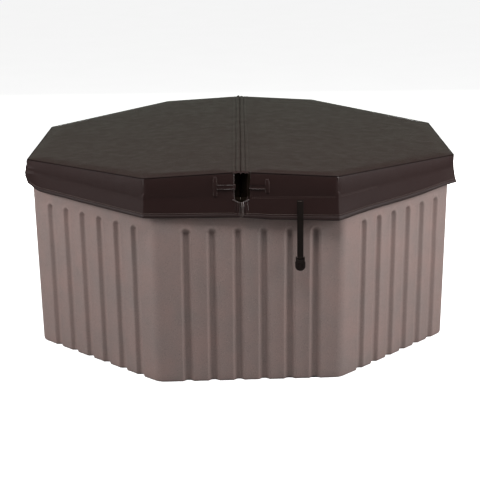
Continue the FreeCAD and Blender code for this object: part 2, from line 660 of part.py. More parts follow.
def topside_panel():
    """The control panel on the shelf: a chamfered plate with a screen recess and three button wells."""
    thickness = 8
    half_width, half_depth, cut_back, cut_front = 92, 42, 14, 10
    screen_half, screen_low, screen_high, screen_depth = 46, 4, 32, 1.2
    well_floor, above = 2.5, 20
    low, high = DECK + CLEAR, DECK + thickness
    front_x, front_y = half_width - cut_front, half_depth - cut_front
    back_x, back_y = half_width - cut_back, half_depth - 12
    right_side = [(front_x, -half_depth), (half_width, -front_y)]
    right_side += [(half_width, back_y), (back_x, half_depth)]
    outline = right_side + [(-x, y) for x, y in reversed(right_side)]
    points = [Vec(PANEL_X + x, PANEL_Y + y, low) for x, y in outline]
    body = Part.Face(Part.makePolygon(points + points[:1])).extrude(Vec(0, 0, high - low))
    screen = box(PANEL_X - screen_half, PANEL_X + screen_half, PANEL_Y + screen_low, PANEL_Y + screen_high,
                 high - screen_depth, high + 2)
    body = body.cut(screen)
    for centre in button_centres():
        well = rod(BUTTON_RADIUS + CLEAR, centre + Vec(0, 0, well_floor), centre + Vec(0, 0, above))
        body = body.cut(well)
    return body


def panel_button(centre):
    """A round push button with a shallow crown."""
    low, high, crown_low, crown_high = 4.5, 9, 8, 14
    crown_radius, crown_drop = 40, 28.8
    pad = rod(BUTTON_RADIUS, centre + Vec(0, 0, low), centre + Vec(0, 0, high))
    limit = rod(BUTTON_RADIUS, centre + Vec(0, 0, crown_low), centre + Vec(0, 0, crown_high))
    crown = Part.makeSphere(crown_radius, centre - Vec(0, 0, crown_drop)).common(limit)
    return pad.fuse(crown)


# ---- equipment -----------------------------------------------------------------------------------
VOLUTE_LEFT, VOLUTE_RIGHT = -150, -62
OUTLET_X = -100
MOTOR_RIGHT = 220
SHAFT_RADIUS = 8
IMPELLER_BACK = 19
HEATER_LEFT, HEATER_RIGHT, HEATER_RISE = -40, 270, 155
FEED_ANGLE = 60


def at_pump(x, dy=0.0, dz=0.0):
    return Vec(x, PUMP_Y + dy, PUMP_Z + dz)


def pump_volute():
    """The wet end: a round body with an inlet on its axis and an outlet at the top."""
    body_radius, chamber_radius, union, bore, shaft_bore = 84, 70, 27, 22, 9
    neck, front_wall, back_wall = 22, 32, 10
    outlet_low, outlet_high = 40, 96
    body = rod(body_radius, at_pump(VOLUTE_LEFT + neck), at_pump(VOLUTE_RIGHT))
    inlet = rod(union, at_pump(VOLUTE_LEFT), at_pump(VOLUTE_LEFT + neck + 8))
    outlet = rod(union, at_pump(OUTLET_X, 0, outlet_low), at_pump(OUTLET_X, 0, outlet_high))
    chamber = rod(chamber_radius, at_pump(VOLUTE_LEFT + front_wall), at_pump(VOLUTE_RIGHT - back_wall))
    bores = [
        rod(bore, at_pump(VOLUTE_LEFT - 5), at_pump(VOLUTE_LEFT + front_wall + 8)),
        rod(bore, at_pump(OUTLET_X, 0, outlet_low + 10), at_pump(OUTLET_X, 0, outlet_high + 4)),
        rod(shaft_bore, at_pump(VOLUTE_RIGHT - 2 * back_wall), at_pump(VOLUTE_RIGHT + 5)),
    ]
    return body.fuse(inlet).fuse(outlet).cut(chamber).cut(bores)


def pump_motor():
    """The motor's finned can with its end bell, hollow along the shaft."""
    can_radius, hollow_radius, bell_radius, bell_length = 70, 62, 58, 16
    fins, fin_ring, fin_half_gauge, fin_half_height = 24, 72, 1.4, 5
    fin_front, fin_back = 30, 50
    front_wall, back_wall = 14, 12
    box_left, box_right, box_half, box_low, box_high = 20, 110, 36, 66, 100
    left = VOLUTE_RIGHT + 2
    can = rod(can_radius, at_pump(left), at_pump(MOTOR_RIGHT))
    for k in range(fins):
        turn = 360 / fins * k
        a = math.radians(turn)
        middle = at_pump(0, fin_ring * math.cos(a), fin_ring * math.sin(a))
        fin = box(left + fin_front, MOTOR_RIGHT - fin_back, -fin_half_gauge, fin_half_gauge,
                  -fin_half_height, fin_half_height)
        fin.rotate(Vec(0, 0, 0), Vec(1, 0, 0), turn + 90)
        fin.translate(Vec(0, middle.y, middle.z))
        can = can.fuse(fin)
    bell = Part.makeCone(can_radius, bell_radius, bell_length, at_pump(MOTOR_RIGHT), Vec(1, 0, 0))
    hollow = rod(hollow_radius, at_pump(left + front_wall), at_pump(MOTOR_RIGHT - back_wall))
    bore = rod(SHAFT_RADIUS + 0.06, at_pump(left - 5), at_pump(MOTOR_RIGHT + 4))
    terminal = box(box_left, box_right, PUMP_Y - box_half, PUMP_Y + box_half,
                   PUMP_Z + box_low, PUMP_Z + box_high)
    return can.fuse(bell).fuse(terminal).cut(hollow).cut(bore)


def pump_shaft():
    """The steel shaft with the rotor on it."""
    rotor_radius, rotor_left, rotor_right = 36, 10, 150
    shaft = rod(SHAFT_RADIUS, at_pump(VOLUTE_RIGHT - IMPELLER_BACK), at_pump(MOTOR_RIGHT + 2))
    return shaft.fuse(rod(rotor_radius, at_pump(rotor_left), at_pump(rotor_right)))


def pump_impeller():
    """A back plate with a hub and six straight vanes."""
    plate_radius, plate, hub_radius, hub_start = 58, 5, 16, 4
    vanes, vane_half_gauge, vane_inner, vane_outer, vane_start, vane_end = 6, 2, 14, 57, 6, 2
    left = VOLUTE_LEFT + 40
    right = VOLUTE_RIGHT - IMPELLER_BACK
    back = rod(plate_radius, at_pump(right - plate), at_pump(right))
    made = back.fuse(rod(hub_radius, at_pump(left + hub_start), at_pump(right)))
    for k in range(vanes):
        vane = box(left + vane_start, right - vane_end,
                   -vane_half_gauge, vane_half_gauge, vane_inner, vane_outer)
        vane.rotate(Vec(0, 0, 0), Vec(1, 0, 0), 360 / vanes * k)
        vane.translate(Vec(0, PUMP_Y, PUMP_Z))
        made = made.fuse(vane)
    return made


def pump_mount():
    """A saddle under the motor, on a foot plate."""
    saddle_left, saddle_right, saddle_half, saddle_top = 0, 180, 60, 70
    overhang, seat_radius, plate_low, plate_high = 20, 78.5, 6, 12
    left, right = saddle_left - overhang, saddle_right + overhang
    half = saddle_half + overhang
    saddle = box(saddle_left, saddle_right, PUMP_Y - saddle_half, PUMP_Y + saddle_half,
                 plate_high, saddle_top)
    saddle = saddle.cut(rod(seat_radius, at_pump(left), at_pump(right + overhang)))
    plate = box(left, right, PUMP_Y - half, PUMP_Y + half, plate_low, plate_high)
    return saddle.fuse(plate)


def heater_housing():
    """A heater tube with a union nut at each end and three electrical terminals on top."""
    radius, gauge, nut_radius, nut_start, nut_end = 32, 3, 39, 2, 30
    terminal_radius, terminal_low, terminal_high, terminal_places = 6, 23, 45, (80, 120, 160)
    past = Vec(5, 0, 0)
    start, end = at_pump(HEATER_LEFT, 0, HEATER_RISE), at_pump(HEATER_RIGHT, 0, HEATER_RISE)
    body = rod(radius, start, end)
    left_nut = rod(nut_radius, start + Vec(nut_start, 0, 0), start + Vec(nut_end, 0, 0))
    right_nut = rod(nut_radius, end - Vec(nut_end, 0, 0), end - Vec(nut_start, 0, 0))
    hollow = rod(radius - gauge, start - past, end + past)
    low, high = HEATER_RISE + terminal_low, HEATER_RISE + terminal_high
    terminals = [rod(terminal_radius, at_pump(x, 0, low), at_pump(x, 0, high)) for x in terminal_places]
    return body.fuse(left_nut).fuse(right_nut).cut(hollow).fuse(terminals)


def control_box():
    """The electrical box beside the pump: a hollow body with an overhanging lid, on four feet."""
    x0, x1, y0, y1, low, high = 340, 560, 440, 640, 12, 222
    gauge, overhang, lid_height = 4, 6, 14
    foot, foot_inset, foot_height = 24, 10, 6
    hollow = box(x0 + gauge, x1 - gauge, y0 + gauge, y1 - gauge, low + gauge, high + 8)
    body = box(x0, x1, y0, y1, low, high).cut(hollow)
    lid = box(x0 - overhang, x1 + overhang, y0 - overhang, y1 + overhang, high, high + lid_height)
    feet = []
    for x in (x0 + foot_inset, x1 - foot_inset - foot):
        for y in (y0 + foot_inset, y1 - foot_inset - foot):
            feet.append(box(x, x + foot, y, y + foot, low - foot_height, low))
    return body.fuse(lid).fuse(feet)


def plumbing():
    """Suction pipes to the pump, and pressure pipes from it through the heater to the jet ring."""
    suction, tee_radius, riser_radius, feed_radius = 23, 30, 22, 20
    gap = 1
    tee_half, tee_right = 29, 40
    throat = 46 + gap
    straight_a, straight_b = 70, 60
    low_a, bend_a, bend_b = Vec(-480, 330, 120), Vec(-330, 600, PUMP_Z), Vec(-235, 540, 118)
    tee = Vec(-235, PUMP_Y, PUMP_Z)
    inlet_a, out_a = footwell_point(*SUCTIONS[0])
    inlet_b, out_b = footwell_point(*SUCTIONS[1])
    start_a, start_b = inlet_a + out_a * throat, inlet_b + out_b * throat
    end_a, end_b = tee - Vec(tee_half + gap, 0, 0), tee - Vec(0, tee_half + gap, 0)
    suction_a = pipe([start_a, start_a + out_a * straight_a, low_a, bend_a, end_a], suction)
    suction_b = pipe([start_b, start_b + out_b * straight_b, bend_b, end_b], suction)
    block = rod(tee_radius, tee - Vec(tee_half, 0, 0), tee + Vec(tee_right, 0, 0))
    block = block.fuse(rod(tee_radius, tee - Vec(0, tee_half, 0), tee))
    link = rod(suction, tee + Vec(tee_right + gap, 0, 0), at_pump(VOLUTE_LEFT - gap))
    riser_low, riser_end = 96 + gap, HEATER_LEFT - 2
    riser = pipe([at_pump(OUTLET_X, 0, riser_low), at_pump(OUTLET_X, 0, HEATER_RISE),
                  at_pump(riser_end, 0, HEATER_RISE)], riser_radius)
    feed_start, feed_bend, feed_low = HEATER_RIGHT + 2, at_pump(380, 20, HEATER_RISE), 290
    feed_end = polar(MANIFOLD_RADIUS, FEED_ANGLE, MANIFOLD_Z - MANIFOLD_TUBE - gap)
    feed_rise = Vec(feed_end.x, feed_end.y, feed_low)
    feed = pipe([at_pump(feed_start, 0, HEATER_RISE), feed_bend, feed_rise, feed_end], feed_radius)
    return Part.makeCompound([suction_a, suction_b, block, link, riser, feed])


def jet_manifold():
    """A ring pipe behind the seat backs, with a riser hose to each power jet."""
    hose, gap, hose_inset = 9, 0.5, 10
    centre, up = Vec(0, 0, MANIFOLD_Z), Vec(0, 0, 1)
    ring = Part.makeTorus(MANIFOLD_RADIUS, MANIFOLD_TUBE, centre, up)
    ring = ring.cut(Part.makeTorus(MANIFOLD_RADIUS, MANIFOLD_TUBE - PIPE_WALL, centre, up))
    made = [ring]
    for place, out in power_jets():
        top = place + out * (POWER_JET_LENGTH + 13)
        angle = math.degrees(math.atan2(top.y, top.x))
        base = polar(MANIFOLD_RADIUS, angle, MANIFOLD_Z + MANIFOLD_TUBE + gap)
        made.append(rod(hose, base, top - Vec(0, 0, hose_inset)))
    return Part.makeCompound(made)


# ---- cover ---------------------------------------------------------------------------------------
COVER_FALL = (COVER_CENTRE - COVER_EDGE) / (COVER_FLATS / 2)


def cover_top(x):
    return COVER_CENTRE - COVER_FALL * abs(x)


def half_outline(inset, fold_inset):
    """The right half octagon's corners, from the front of the fold round to its back."""
    half = COVER_FLATS / 2 - inset
    side = half * math.tan(HALF_TURN)
    fold = FOLD_GAP / 2 + fold_inset
    return [(fold, -half), (side, -half), (half, -side), (half, side), (side, half), (fold, half)]


def half_prism(inset, fold_inset, low, drop):
    """The right half as a solid, from z = low up to the sloping top less drop."""
    tall, high = 200, 1200
    outline = half_outline(inset, fold_inset)
    points = [Vec(x, y, low) for x, y in outline]
    solid = Part.Face(Part.makePolygon(points + points[:1])).extrude(Vec(0, 0, tall))
    far = COVER_FLATS
    roof = [Vec(0, -far, cover_top(0) - drop), Vec(far, -far, cover_top(far) - drop)]
    roof += [Vec(far, -far, high), Vec(0, -far, high)]
    wedge = Part.Face(Part.makePolygon(roof + roof[:1])).extrude(Vec(0, 2 * far, 0))
    return solid.cut(wedge)


def mirrored(shape):
    return shape.mirror(Vec(0, 0, 0), Vec(1, 0, 0))


def cover_jacket():
    """Vinyl over the top and the outer sides; the fold side and the underside are left to the liner."""
    open_side, open_below = -20, 10
    outside = half_prism(0, 0, COVER_BOTTOM, 0)
    inside = half_prism(VINYL, open_side, COVER_BOTTOM - open_below, VINYL)
    return outside.cut(inside)


def cover_liner():
    """The underside cloth, which also runs up the fold side."""
    open_side, open_above = 20, 50
    inset = VINYL + LAYER_GAP
    block = half_prism(inset, 0, COVER_BOTTOM, inset)
    inside = half_prism(inset - open_side, VINYL, COVER_BOTTOM + VINYL, -open_above)
    return block.cut(inside)


CHANNEL_X = FOLD_GAP / 2 + VINYL + 1
CHANNEL_LOW, CHANNEL_HIGH = 792, 868
CHANNEL_DEPTH = 26
CHANNEL_GAUGE = 1.5
CHANNEL_INSET = 60
CHANNEL_PAST = 60                          # how far the channel's inside is cut towards the core


def stiffener_channel():
    """A folded steel channel round the core's fold edge."""
    half = COVER_FLATS / 2 - CHANNEL_INSET
    outside = box(CHANNEL_X, CHANNEL_X + CHANNEL_DEPTH, -half, half, CHANNEL_LOW, CHANNEL_HIGH)
    g = CHANNEL_GAUGE
    past = 5
    inside = box(CHANNEL_X + g, CHANNEL_X + CHANNEL_PAST, -half - past, half + past,
                 CHANNEL_LOW + g, CHANNEL_HIGH - g)
    return outside.cut(inside)


def foam_core():
    """The tapered foam slab, slotted for the steel channel."""
    gap = 2 * LAYER_GAP
    core = half_prism(VINYL + 1, VINYL + 1, COVER_BOTTOM + VINYL + gap, VINYL + 1)
    half = COVER_FLATS / 2 - CHANNEL_INSET + 2
    g = CHANNEL_GAUGE + LAYER_GAP
    past = 5
    slot = box(CHANNEL_X - 1, CHANNEL_X + CHANNEL_DEPTH + 1, -half, half,
               CHANNEL_LOW - LAYER_GAP, CHANNEL_HIGH + LAYER_GAP)
    tongue = box(CHANNEL_X + g, CHANNEL_X + CHANNEL_PAST, -half - past, half + past,
                 CHANNEL_LOW + g, CHANNEL_HIGH - g)
    return core.cut(slot.cut(tongue))


def cover_skirt():
    """The right half's hanging flap: one flat cloth panel for each side of the cover that it follows."""
    fold_gap, cloth = 2, 1.5
    high = COVER_BOTTOM - 0.2
    half = COVER_FLATS / 2
    side = half * math.tan(HALF_TURN)
    low_half = half + SKIRT_FLARE
    low_side = low_half * math.tan(HALF_TURN)
    top = [(fold_gap, -half), (side, -half), (half, -side), (half, side), (side, half), (fold_gap, half)]
    low = [(fold_gap, -low_half), (low_side, -low_half), (low_half, -low_side), (low_half, low_side),
           (low_side, low_half), (fold_gap, low_half)]
    panels = []
    last = len(top) - 2
    for k in range(last + 1):
        a, b, c, d = top[k], top[k + 1], low[k + 1], low[k]
        corners = [Vec(*a, high), Vec(*b, high), Vec(*c, SKIRT_BOTTOM), Vec(*d, SKIRT_BOTTOM)]
        middle = Vec((a[0] + b[0]) / 2, (a[1] + b[1]) / 2, 0)
        if k in (0, last):
            middle = Vec(0, middle.y, 0)
        inward = middle * (-cloth / middle.Length)
        panels.append(Part.Face(Part.makePolygon(corners + corners[:1])).extrude(inward))
    return Part.makeCompound(panels)


HANDLE_Z = 826
HANDLE_REACH = 103


def fold_handles():
    """Carrying handles beside the fold, front and back: a flat strap with a sewn tab at its outer end."""
    half_width, strap_gauge, tab_gauge, tab_width, overlap = 12, 6, 3, 14, 4
    tab_low, tab_high = 784, 862
    tab_start = HANDLE_REACH - overlap
    half = COVER_FLATS / 2
    made = []
    for sign in (-1, 1):
        y0, y1 = sorted((sign * (half + LAYER_GAP), sign * (half + strap_gauge)))
        strap = box(FOLD_GAP / 2, tab_start, y0, y1, HANDLE_Z - half_width, HANDLE_Z + half_width)
        y0, y1 = sorted((sign * (half + LAYER_GAP), sign * (half + tab_gauge)))
        tab = box(tab_start, tab_start + tab_width, y0, y1, tab_low, tab_high)
        made.append(strap.fuse(tab))
    return Part.makeCompound(made)


def hinge_strip():
    """A doubled vinyl band that bridges the fold on the top, sewn down beside it."""
    thickness, reach = 2, 62
    half = COVER_FLATS / 2 - 1
    low = cover_top(0) + LAYER_GAP
    bridge = box(-FOLD_GAP / 2 + 2, FOLD_GAP / 2 + 1, -half, half, low, low + thickness)
    x0, x1 = FOLD_GAP / 2 + 1, reach
    points = [Vec(x0, -half, cover_top(x0) + LAYER_GAP), Vec(x1, -half, cover_top(x1) + LAYER_GAP),
              Vec(x1, -half, cover_top(x1) + LAYER_GAP + thickness), Vec(x0, -half, low + thickness)]
    wing = Part.Face(Part.makePolygon(points + points[:1])).extrude(Vec(0, 2 * half, 0))
    return bridge.fuse(wing)


# ---- hold-down straps ----------------------------------------------------------------------------
def strap_line():
    """How far out from the centre the strap hangs below the skirt, measured to its middle."""
    return COVER_FLATS / 2 + SKIRT_FLARE + STRAP_STANDOFF


def strap_webbing():
    """The front strap, at x = 0: over the skirt from its top seam, down, and round the buckle's bar."""
    half = COVER_FLATS / 2
    out = strap_line() - WEB / 2
    points = [(half + 2, STRAP_TOP), (out, SKIRT_BOTTOM + 2), (out, STRAP_END)]
    outline = [Vec(0, -y, z) for y, z in points]
    outline += [Vec(0, -y - WEB, z) for y, z in reversed(points)]
    strap = Part.Face(Part.makePolygon(outline + outline[:1])).extrude(Vec(STRAP_WIDTH, 0, 0))
    left, right = Vec(0, -strap_line(), STRAP_END), Vec(STRAP_WIDTH, -strap_line(), STRAP_END)
    loop = rod(BAR_RADIUS + FIT + WEB, left, right)
    bar_hole = rod(BAR_RADIUS + FIT, left - Vec(1, 0, 0), right + Vec(1, 0, 0))
    strap = strap.fuse(loop).cut(bar_hole)
    strap.translate(Vec(-STRAP_WIDTH / 2, 0, 0))
    return strap


def strap_buckle():
    """The plug half of a side-release buckle: a cross bar, two spring prongs and a centre guide."""
    thick, wall, bar_past = 4.5, 5, 2
    frame_low, frame_high, window_low, window_high = 16, 8, 9, 20
    slot_inner, slot_outer, slot_low, slot_high = 5, 10, 9, 22
    through, shoulder_drop = 10, 12
    y = -strap_line()
    half_width, low = BUCKLE_WIDTH / 2, BUCKLE_BOTTOM
    arm = STRAP_WIDTH / 2 + 1
    bar = rod(BAR_RADIUS, Vec(-arm - bar_past, y, STRAP_END), Vec(arm + bar_past, y, STRAP_END))
    frame_z = (STRAP_END - frame_low, STRAP_END + frame_high)
    frame = box(-arm - wall, arm + wall, y - thick, y + thick, *frame_z)
    window_z = (STRAP_END - window_low, STRAP_END + window_high)
    frame = frame.cut(box(-arm, arm, y - through, y + through, *window_z))
    tip = rod(half_width, Vec(0, y - thick, low + half_width), Vec(0, y + thick, low + half_width))
    shoulder_z = (low + half_width, STRAP_END - shoulder_drop)
    shoulder = box(-half_width, half_width, y - thick, y + thick, *shoulder_z)
    prongs = tip.fuse(shoulder)
    for sign in (-1, 1):
        x0, x1 = sorted((sign * slot_inner, sign * slot_outer))
        prongs = prongs.cut(box(x0, x1, y - through, y + through, low + slot_low, STRAP_END - slot_high))
    return bar.fuse(frame).fuse(prongs)


def strap_places():
    """Each strap's name, turn about +Z from the front and offset along its side."""
    return [
        ("front", 0, STRAP_OFFSET),
        ("right", 90, STRAP_OFFSET),
        ("back", 180, STRAP_OFFSET),
        ("left", 270, LEFT_STRAP_OFFSET),
    ]


def placed_strap(shape, turn, offset):
    moved = shape.copy()
    moved.translate(Vec(offset, 0, 0))
    return turned(moved, turn)


# ---- the assembly --------------------------------------------------------------------------------
def nodes():
    cabinet, door = cabinet_and_door()
    made = {
        "cabinet_shell": cabinet,
        "access_door": door,
        "door_screw_left": door_screw(-1),
        "door_screw_right": door_screw(1),
        "basin_shell": basin_with_weir(),
        "rim_screws": rim_screws(),
        "base_pan": base_pan(),
        "cord_gland": cord_gland(),
        "drain_body": drain_body(),
        "drain_cap": drain_cap(),
        "jet_bodies": jet_bodies(),
        "mini_jet_faces": mini_jet_faces(),
        "suction_covers": suction_covers(),
        "light_lens": light_lens(),
        "filter_canister": filter_canister(),
        "filter_cartridge": filter_cartridge(),
        "filter_lid": filter_lid(),
        "weir_flap": weir_flap(),
        "valve_bodies": valve_bodies(),
        "topside_panel": topside_panel(),
        "pump_volute": pump_volute(),
        "pump_motor": pump_motor(),
        "pump_shaft": pump_shaft(),
        "pump_impeller": pump_impeller(),
        "pump_mount": pump_mount(),
        "heater_housing": heater_housing(),
        "control_box": control_box(),
        "plumbing_pipes": plumbing(),
        "jet_manifold": jet_manifold(),
        "hinge_strip": hinge_strip(),
    }
    for n, (place, out) in enumerate(power_jets(), 1):
        made[f"jet_nozzle_{n}"] = jet_nozzle(place, out)
    for name, (angle, radius) in zip(("diverter_knob", "air_knob_left", "air_knob_front"), VALVES):
        made[name] = valve_knob(angle, radius)
    for name, centre in zip(("jets_button", "warmer_button", "light_button"), button_centres()):
        made[name] = panel_button(centre)
    halves = {
        "foam_core": foam_core(),
        "stiffener": stiffener_channel(),
        "jacket": cover_jacket(),
        "liner": cover_liner(),
        "skirt": cover_skirt(),
        "handles": fold_handles(),
    }
    for name, shape in halves.items():
        made[f"right_{name}"] = shape
        made[f"left_{name}"] = mirrored(shape)
    for name, turn, offset in strap_places():
        made[f"{name}_strap"] = placed_strap(strap_webbing(), turn, offset)
        made[f"{name}_buckle"] = placed_strap(strap_buckle(), turn, offset)
    return made


def main():
    os.makedirs("parts", exist_ok=True)
    for name, shape in nodes().items():
        for solid in shape.Solids:
            if not solid.isValid() or solid.Volume <= 0:
                print("CHECK", name, solid.isValid(), solid.Volume)
        if len(shape.Solids) > 1 or shape.ShapeType != "Solid":
            shape = Part.makeCompound(shape.Solids)
        shape.exportStep(f"parts/{name}.step")
        print(name, len(shape.Solids), "solids", round(shape.Volume / 1e6, 2), "litres")


main()
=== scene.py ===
"""The looks of an octagonal hot tub with a folding insulated cover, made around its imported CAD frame.

Metres, +Z up, the origin is the centre of the footprint on the floor, and the front faces -Y. "Right" and
"left" are as seen from the front, and a side of +1 is the right and -1 the left. Both cover halves are worked
out on the right, and the left one is then mirrored.
"""

import json
import math

import bmesh
import bpy
import numpy as np
from mathutils import Matrix, Vector, noise


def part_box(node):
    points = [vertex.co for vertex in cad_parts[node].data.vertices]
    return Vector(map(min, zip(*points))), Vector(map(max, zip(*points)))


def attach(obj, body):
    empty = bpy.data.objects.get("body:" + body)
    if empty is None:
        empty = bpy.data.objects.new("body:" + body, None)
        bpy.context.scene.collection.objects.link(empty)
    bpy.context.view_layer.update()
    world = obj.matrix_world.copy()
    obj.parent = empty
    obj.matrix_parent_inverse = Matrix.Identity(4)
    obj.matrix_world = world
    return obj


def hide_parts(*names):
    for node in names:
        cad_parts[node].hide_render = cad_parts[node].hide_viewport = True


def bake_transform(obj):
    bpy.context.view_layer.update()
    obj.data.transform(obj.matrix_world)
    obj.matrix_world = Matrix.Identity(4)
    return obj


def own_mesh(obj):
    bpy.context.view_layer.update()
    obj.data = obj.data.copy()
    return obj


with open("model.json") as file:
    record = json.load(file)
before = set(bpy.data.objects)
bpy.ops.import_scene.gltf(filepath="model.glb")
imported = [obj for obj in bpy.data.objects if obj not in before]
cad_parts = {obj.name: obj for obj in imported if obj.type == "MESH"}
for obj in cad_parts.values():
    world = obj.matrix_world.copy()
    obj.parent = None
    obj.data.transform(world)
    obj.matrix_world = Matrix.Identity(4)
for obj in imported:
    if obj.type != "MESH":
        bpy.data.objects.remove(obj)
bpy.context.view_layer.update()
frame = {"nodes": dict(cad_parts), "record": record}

MM = 0.001
SIDES = 8
SIDE_TURN = 2 * math.pi / SIDES
TAN_HALF = math.tan(SIDE_TURN / 2)


# ---- sizes, from the frame where it has them -----------------------------------------------------
CABINET_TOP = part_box("cabinet_shell")[1].z
CABINET_HALF_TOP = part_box("cabinet_shell")[1].y
CABINET_LEAN = 12 / 766
CABINET_WALL = 8 * MM
CORNER_RADIUS_TOP, CORNER_RADIUS_BOTTOM = 52 * MM, 64 * MM
RIM_LOW = 722 * MM                 # the basin's lip hangs over the wall down to here
FOOT_ROUND = 11 * MM

GROOVES_PER_SIDE = 6
GROOVE_PITCH = 104 * MM
GROOVE_LIP = 22 * MM               # half the width across the rounded lips
GROOVE_FLOOR = 3 * MM              # half the width of the flat floor
GROOVE_DEPTH = 13 * MM
LIP_SWELL = 2.0 * MM               # how far the wall rises beside each groove
SWELL_PLACE, SWELL_WIDTH = 1.05, 0.22      # where that rise stands and how wide it is, in lips
BACK_SIDE = 2                      # the sides are numbered from the right, anticlockwise from above
SIDE_TURNS = {0: 0.4, 5: 1.0, 6: 2.4, 7: 2.0}      # degrees that a side stands turned under the cover
SIDE_GROOVES = {5: (108 * MM, 4 * MM), 7: (101 * MM, 11 * MM)}     # pitch and offset, where they differ
GROOVE_TOP = 655 * MM
GROOVE_WIDEN = 2.5 * MM            # how much wider each half is at the bottom

DOOR_LOW, DOOR_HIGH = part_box("access_door")[0].z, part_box("access_door")[1].z
DOOR_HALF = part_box("access_door")[1].x
DOOR_GAP = 2.5 * MM

COVER_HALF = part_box("right_jacket")[1].y
COVER_SIDE = COVER_HALF * TAN_HALF
COVER_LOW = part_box("right_jacket")[0].z
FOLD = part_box("right_jacket")[0].x
RIDGE_SLOPE = 0.0583               # carries the roof's line on from the jacket's edge to the fold's middle
COVER_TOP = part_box("right_jacket")[1].z + FOLD * RIDGE_SLOPE
COVER_FALL = 54 / 927
OUTLINE_STEP = 11 * MM             # the usual distance between points along the cover's outline
CORNER_SOFT = 9 * MM               # how far from a corner the outline starts to turn
DIAGONAL = 0.7071
EDGE_ROUND = 9 * MM                # the jacket round its foam, at the top edges
RIGHT_SEED, LEFT_SEED = 3, 11
LOW_ROUND = 3 * MM

SKIRT_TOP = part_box("right_skirt")[1].z
SKIRT_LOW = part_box("right_skirt")[0].z
SKIRT_FLARE = 6 * MM
LIP_SAG = 13 * MM                  # how far the skirts' tops sag where they meet below the fold
LIP_REACH = 34 * MM

STRAP_X = (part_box("front_strap")[0].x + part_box("front_strap")[1].x) / 2
STRAP_HALF = (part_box("front_strap")[1].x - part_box("front_strap")[0].x) / 2


# ---- mesh helpers --------------------------------------------------------------------------------
def mesh_object(name, vertices, faces, material, smooth=True):
    mesh = bpy.data.meshes.new(name)
    mesh.from_pydata([tuple(v) for v in vertices], [], faces)
    mesh.validate()
    made = bpy.data.objects.new(name, mesh)
    bpy.context.scene.collection.objects.link(made)
    mesh.materials.append(material)
    if smooth:
        mesh.polygons.foreach_set("use_smooth", [True] * len(mesh.polygons))
    recalculate(made)
    return made


def recalculate(made):
    """Turns every face outwards."""
    work = bmesh.new()
    work.from_mesh(made.data)
    bmesh.ops.recalc_face_normals(work, faces=work.faces)
    work.to_mesh(made.data)
    work.free()


def joined(name, parts):
    """One object from several, keeping each one's materials."""
    bpy.ops.object.select_all(action="DESELECT")
    for part in parts:
        part.select_set(True)
    bpy.context.view_layer.objects.active = parts[0]
    bpy.ops.object.join()
    made = bpy.context.view_layer.objects.active
    made.name = name
    return made


def apply_modifiers(made):
    """Bakes an object's modifiers into its mesh."""
    graph = bpy.context.evaluated_depsgraph_get()
    mesh = bpy.data.meshes.new_from_object(made.evaluated_get(graph))
    made.modifiers.clear()
    made.data = mesh
    return made


def mirror(made):
    """Turns a right-hand piece into a left-hand one."""
    made.data.transform(Matrix.Scale(-1, 4, Vector((1, 0, 0))))
    made.data.flip_normals()


def half_name(side):
    return "right" if side > 0 else "left"


def thin_shell(name, outer, inner, keep, material):
    """A closed wall from two matching grids, where keep[row][column] is true. The columns wrap round."""
    rows, columns = outer.shape[:2]
    keep = np.asarray(keep)
    faces = []

    def near(r, c):
        return r * columns + c % columns

    def far(r, c):
        return rows * columns + near(r, c)

    def kept(r, c):
        return 0 <= r < rows - 1 and keep[r][c % columns]

    for r in range(rows - 1):
        for c in range(columns):
            if not keep[r][c]:
                continue
            faces.append((near(r, c), near(r, c + 1), near(r + 1, c + 1), near(r + 1, c)))
            faces.append((far(r, c), far(r + 1, c), far(r + 1, c + 1), far(r, c + 1)))
            if not kept(r - 1, c):
                faces.append((near(r, c), far(r, c), far(r, c + 1), near(r, c + 1)))
            if not kept(r + 1, c):
                faces.append((near(r + 1, c), near(r + 1, c + 1), far(r + 1, c + 1), far(r + 1, c)))
            if not kept(r, c - 1):
                faces.append((near(r, c), near(r + 1, c), far(r + 1, c), far(r, c)))
            if not kept(r, c + 1):
                faces.append((near(r, c + 1), far(r, c + 1), far(r + 1, c + 1), near(r + 1, c + 1)))
    points = np.concatenate([outer.reshape(-1, 3), inner.reshape(-1, 3)])
    used = sorted({i for face in faces for i in face})
    renumber = {old: new for new, old in enumerate(used)}
    return mesh_object(name, points[used], [tuple(renumber[i] for i in face) for face in faces], material)


def swept(name, rings, material, closed_path=False, smooth=True):
    """A solid through matching closed rings of points, capped at its ends unless the path closes."""
    rings = np.asarray(rings)
    count, size = rings.shape[:2]
    faces = []
    for i in range(count if closed_path else count - 1):
        j = (i + 1) % count
        for k in range(size):
            m = (k + 1) % size
            faces.append((i * size + k, i * size + m, j * size + m, j * size + k))
    if not closed_path:
        faces.append(tuple(range(size)))
        faces.append(tuple((count - 1) * size + k for k in reversed(range(size))))
    return mesh_object(name, rings.reshape(-1, 3), faces, material, smooth)


def cord_rings(path, radius, sides=8, squash=1.0, up=(0, 0, 1)):
    """Rings of a round or flattened cord along a path of points."""
    path = [Vector(p) for p in path]
    rings = []
    for i, here in enumerate(path):
        along = (path[min(i + 1, len(path) - 1)] - path[max(i - 1, 0)]).normalized()
        side = along.cross(Vector(up)).normalized()
        lift = side.cross(along)
        ring = []
        for k in range(sides):
            a = 2 * math.pi * k / sides
            ring.append(here + side * radius * math.cos(a) + lift * radius * squash * math.sin(a))
        rings.append(ring)
    return rings


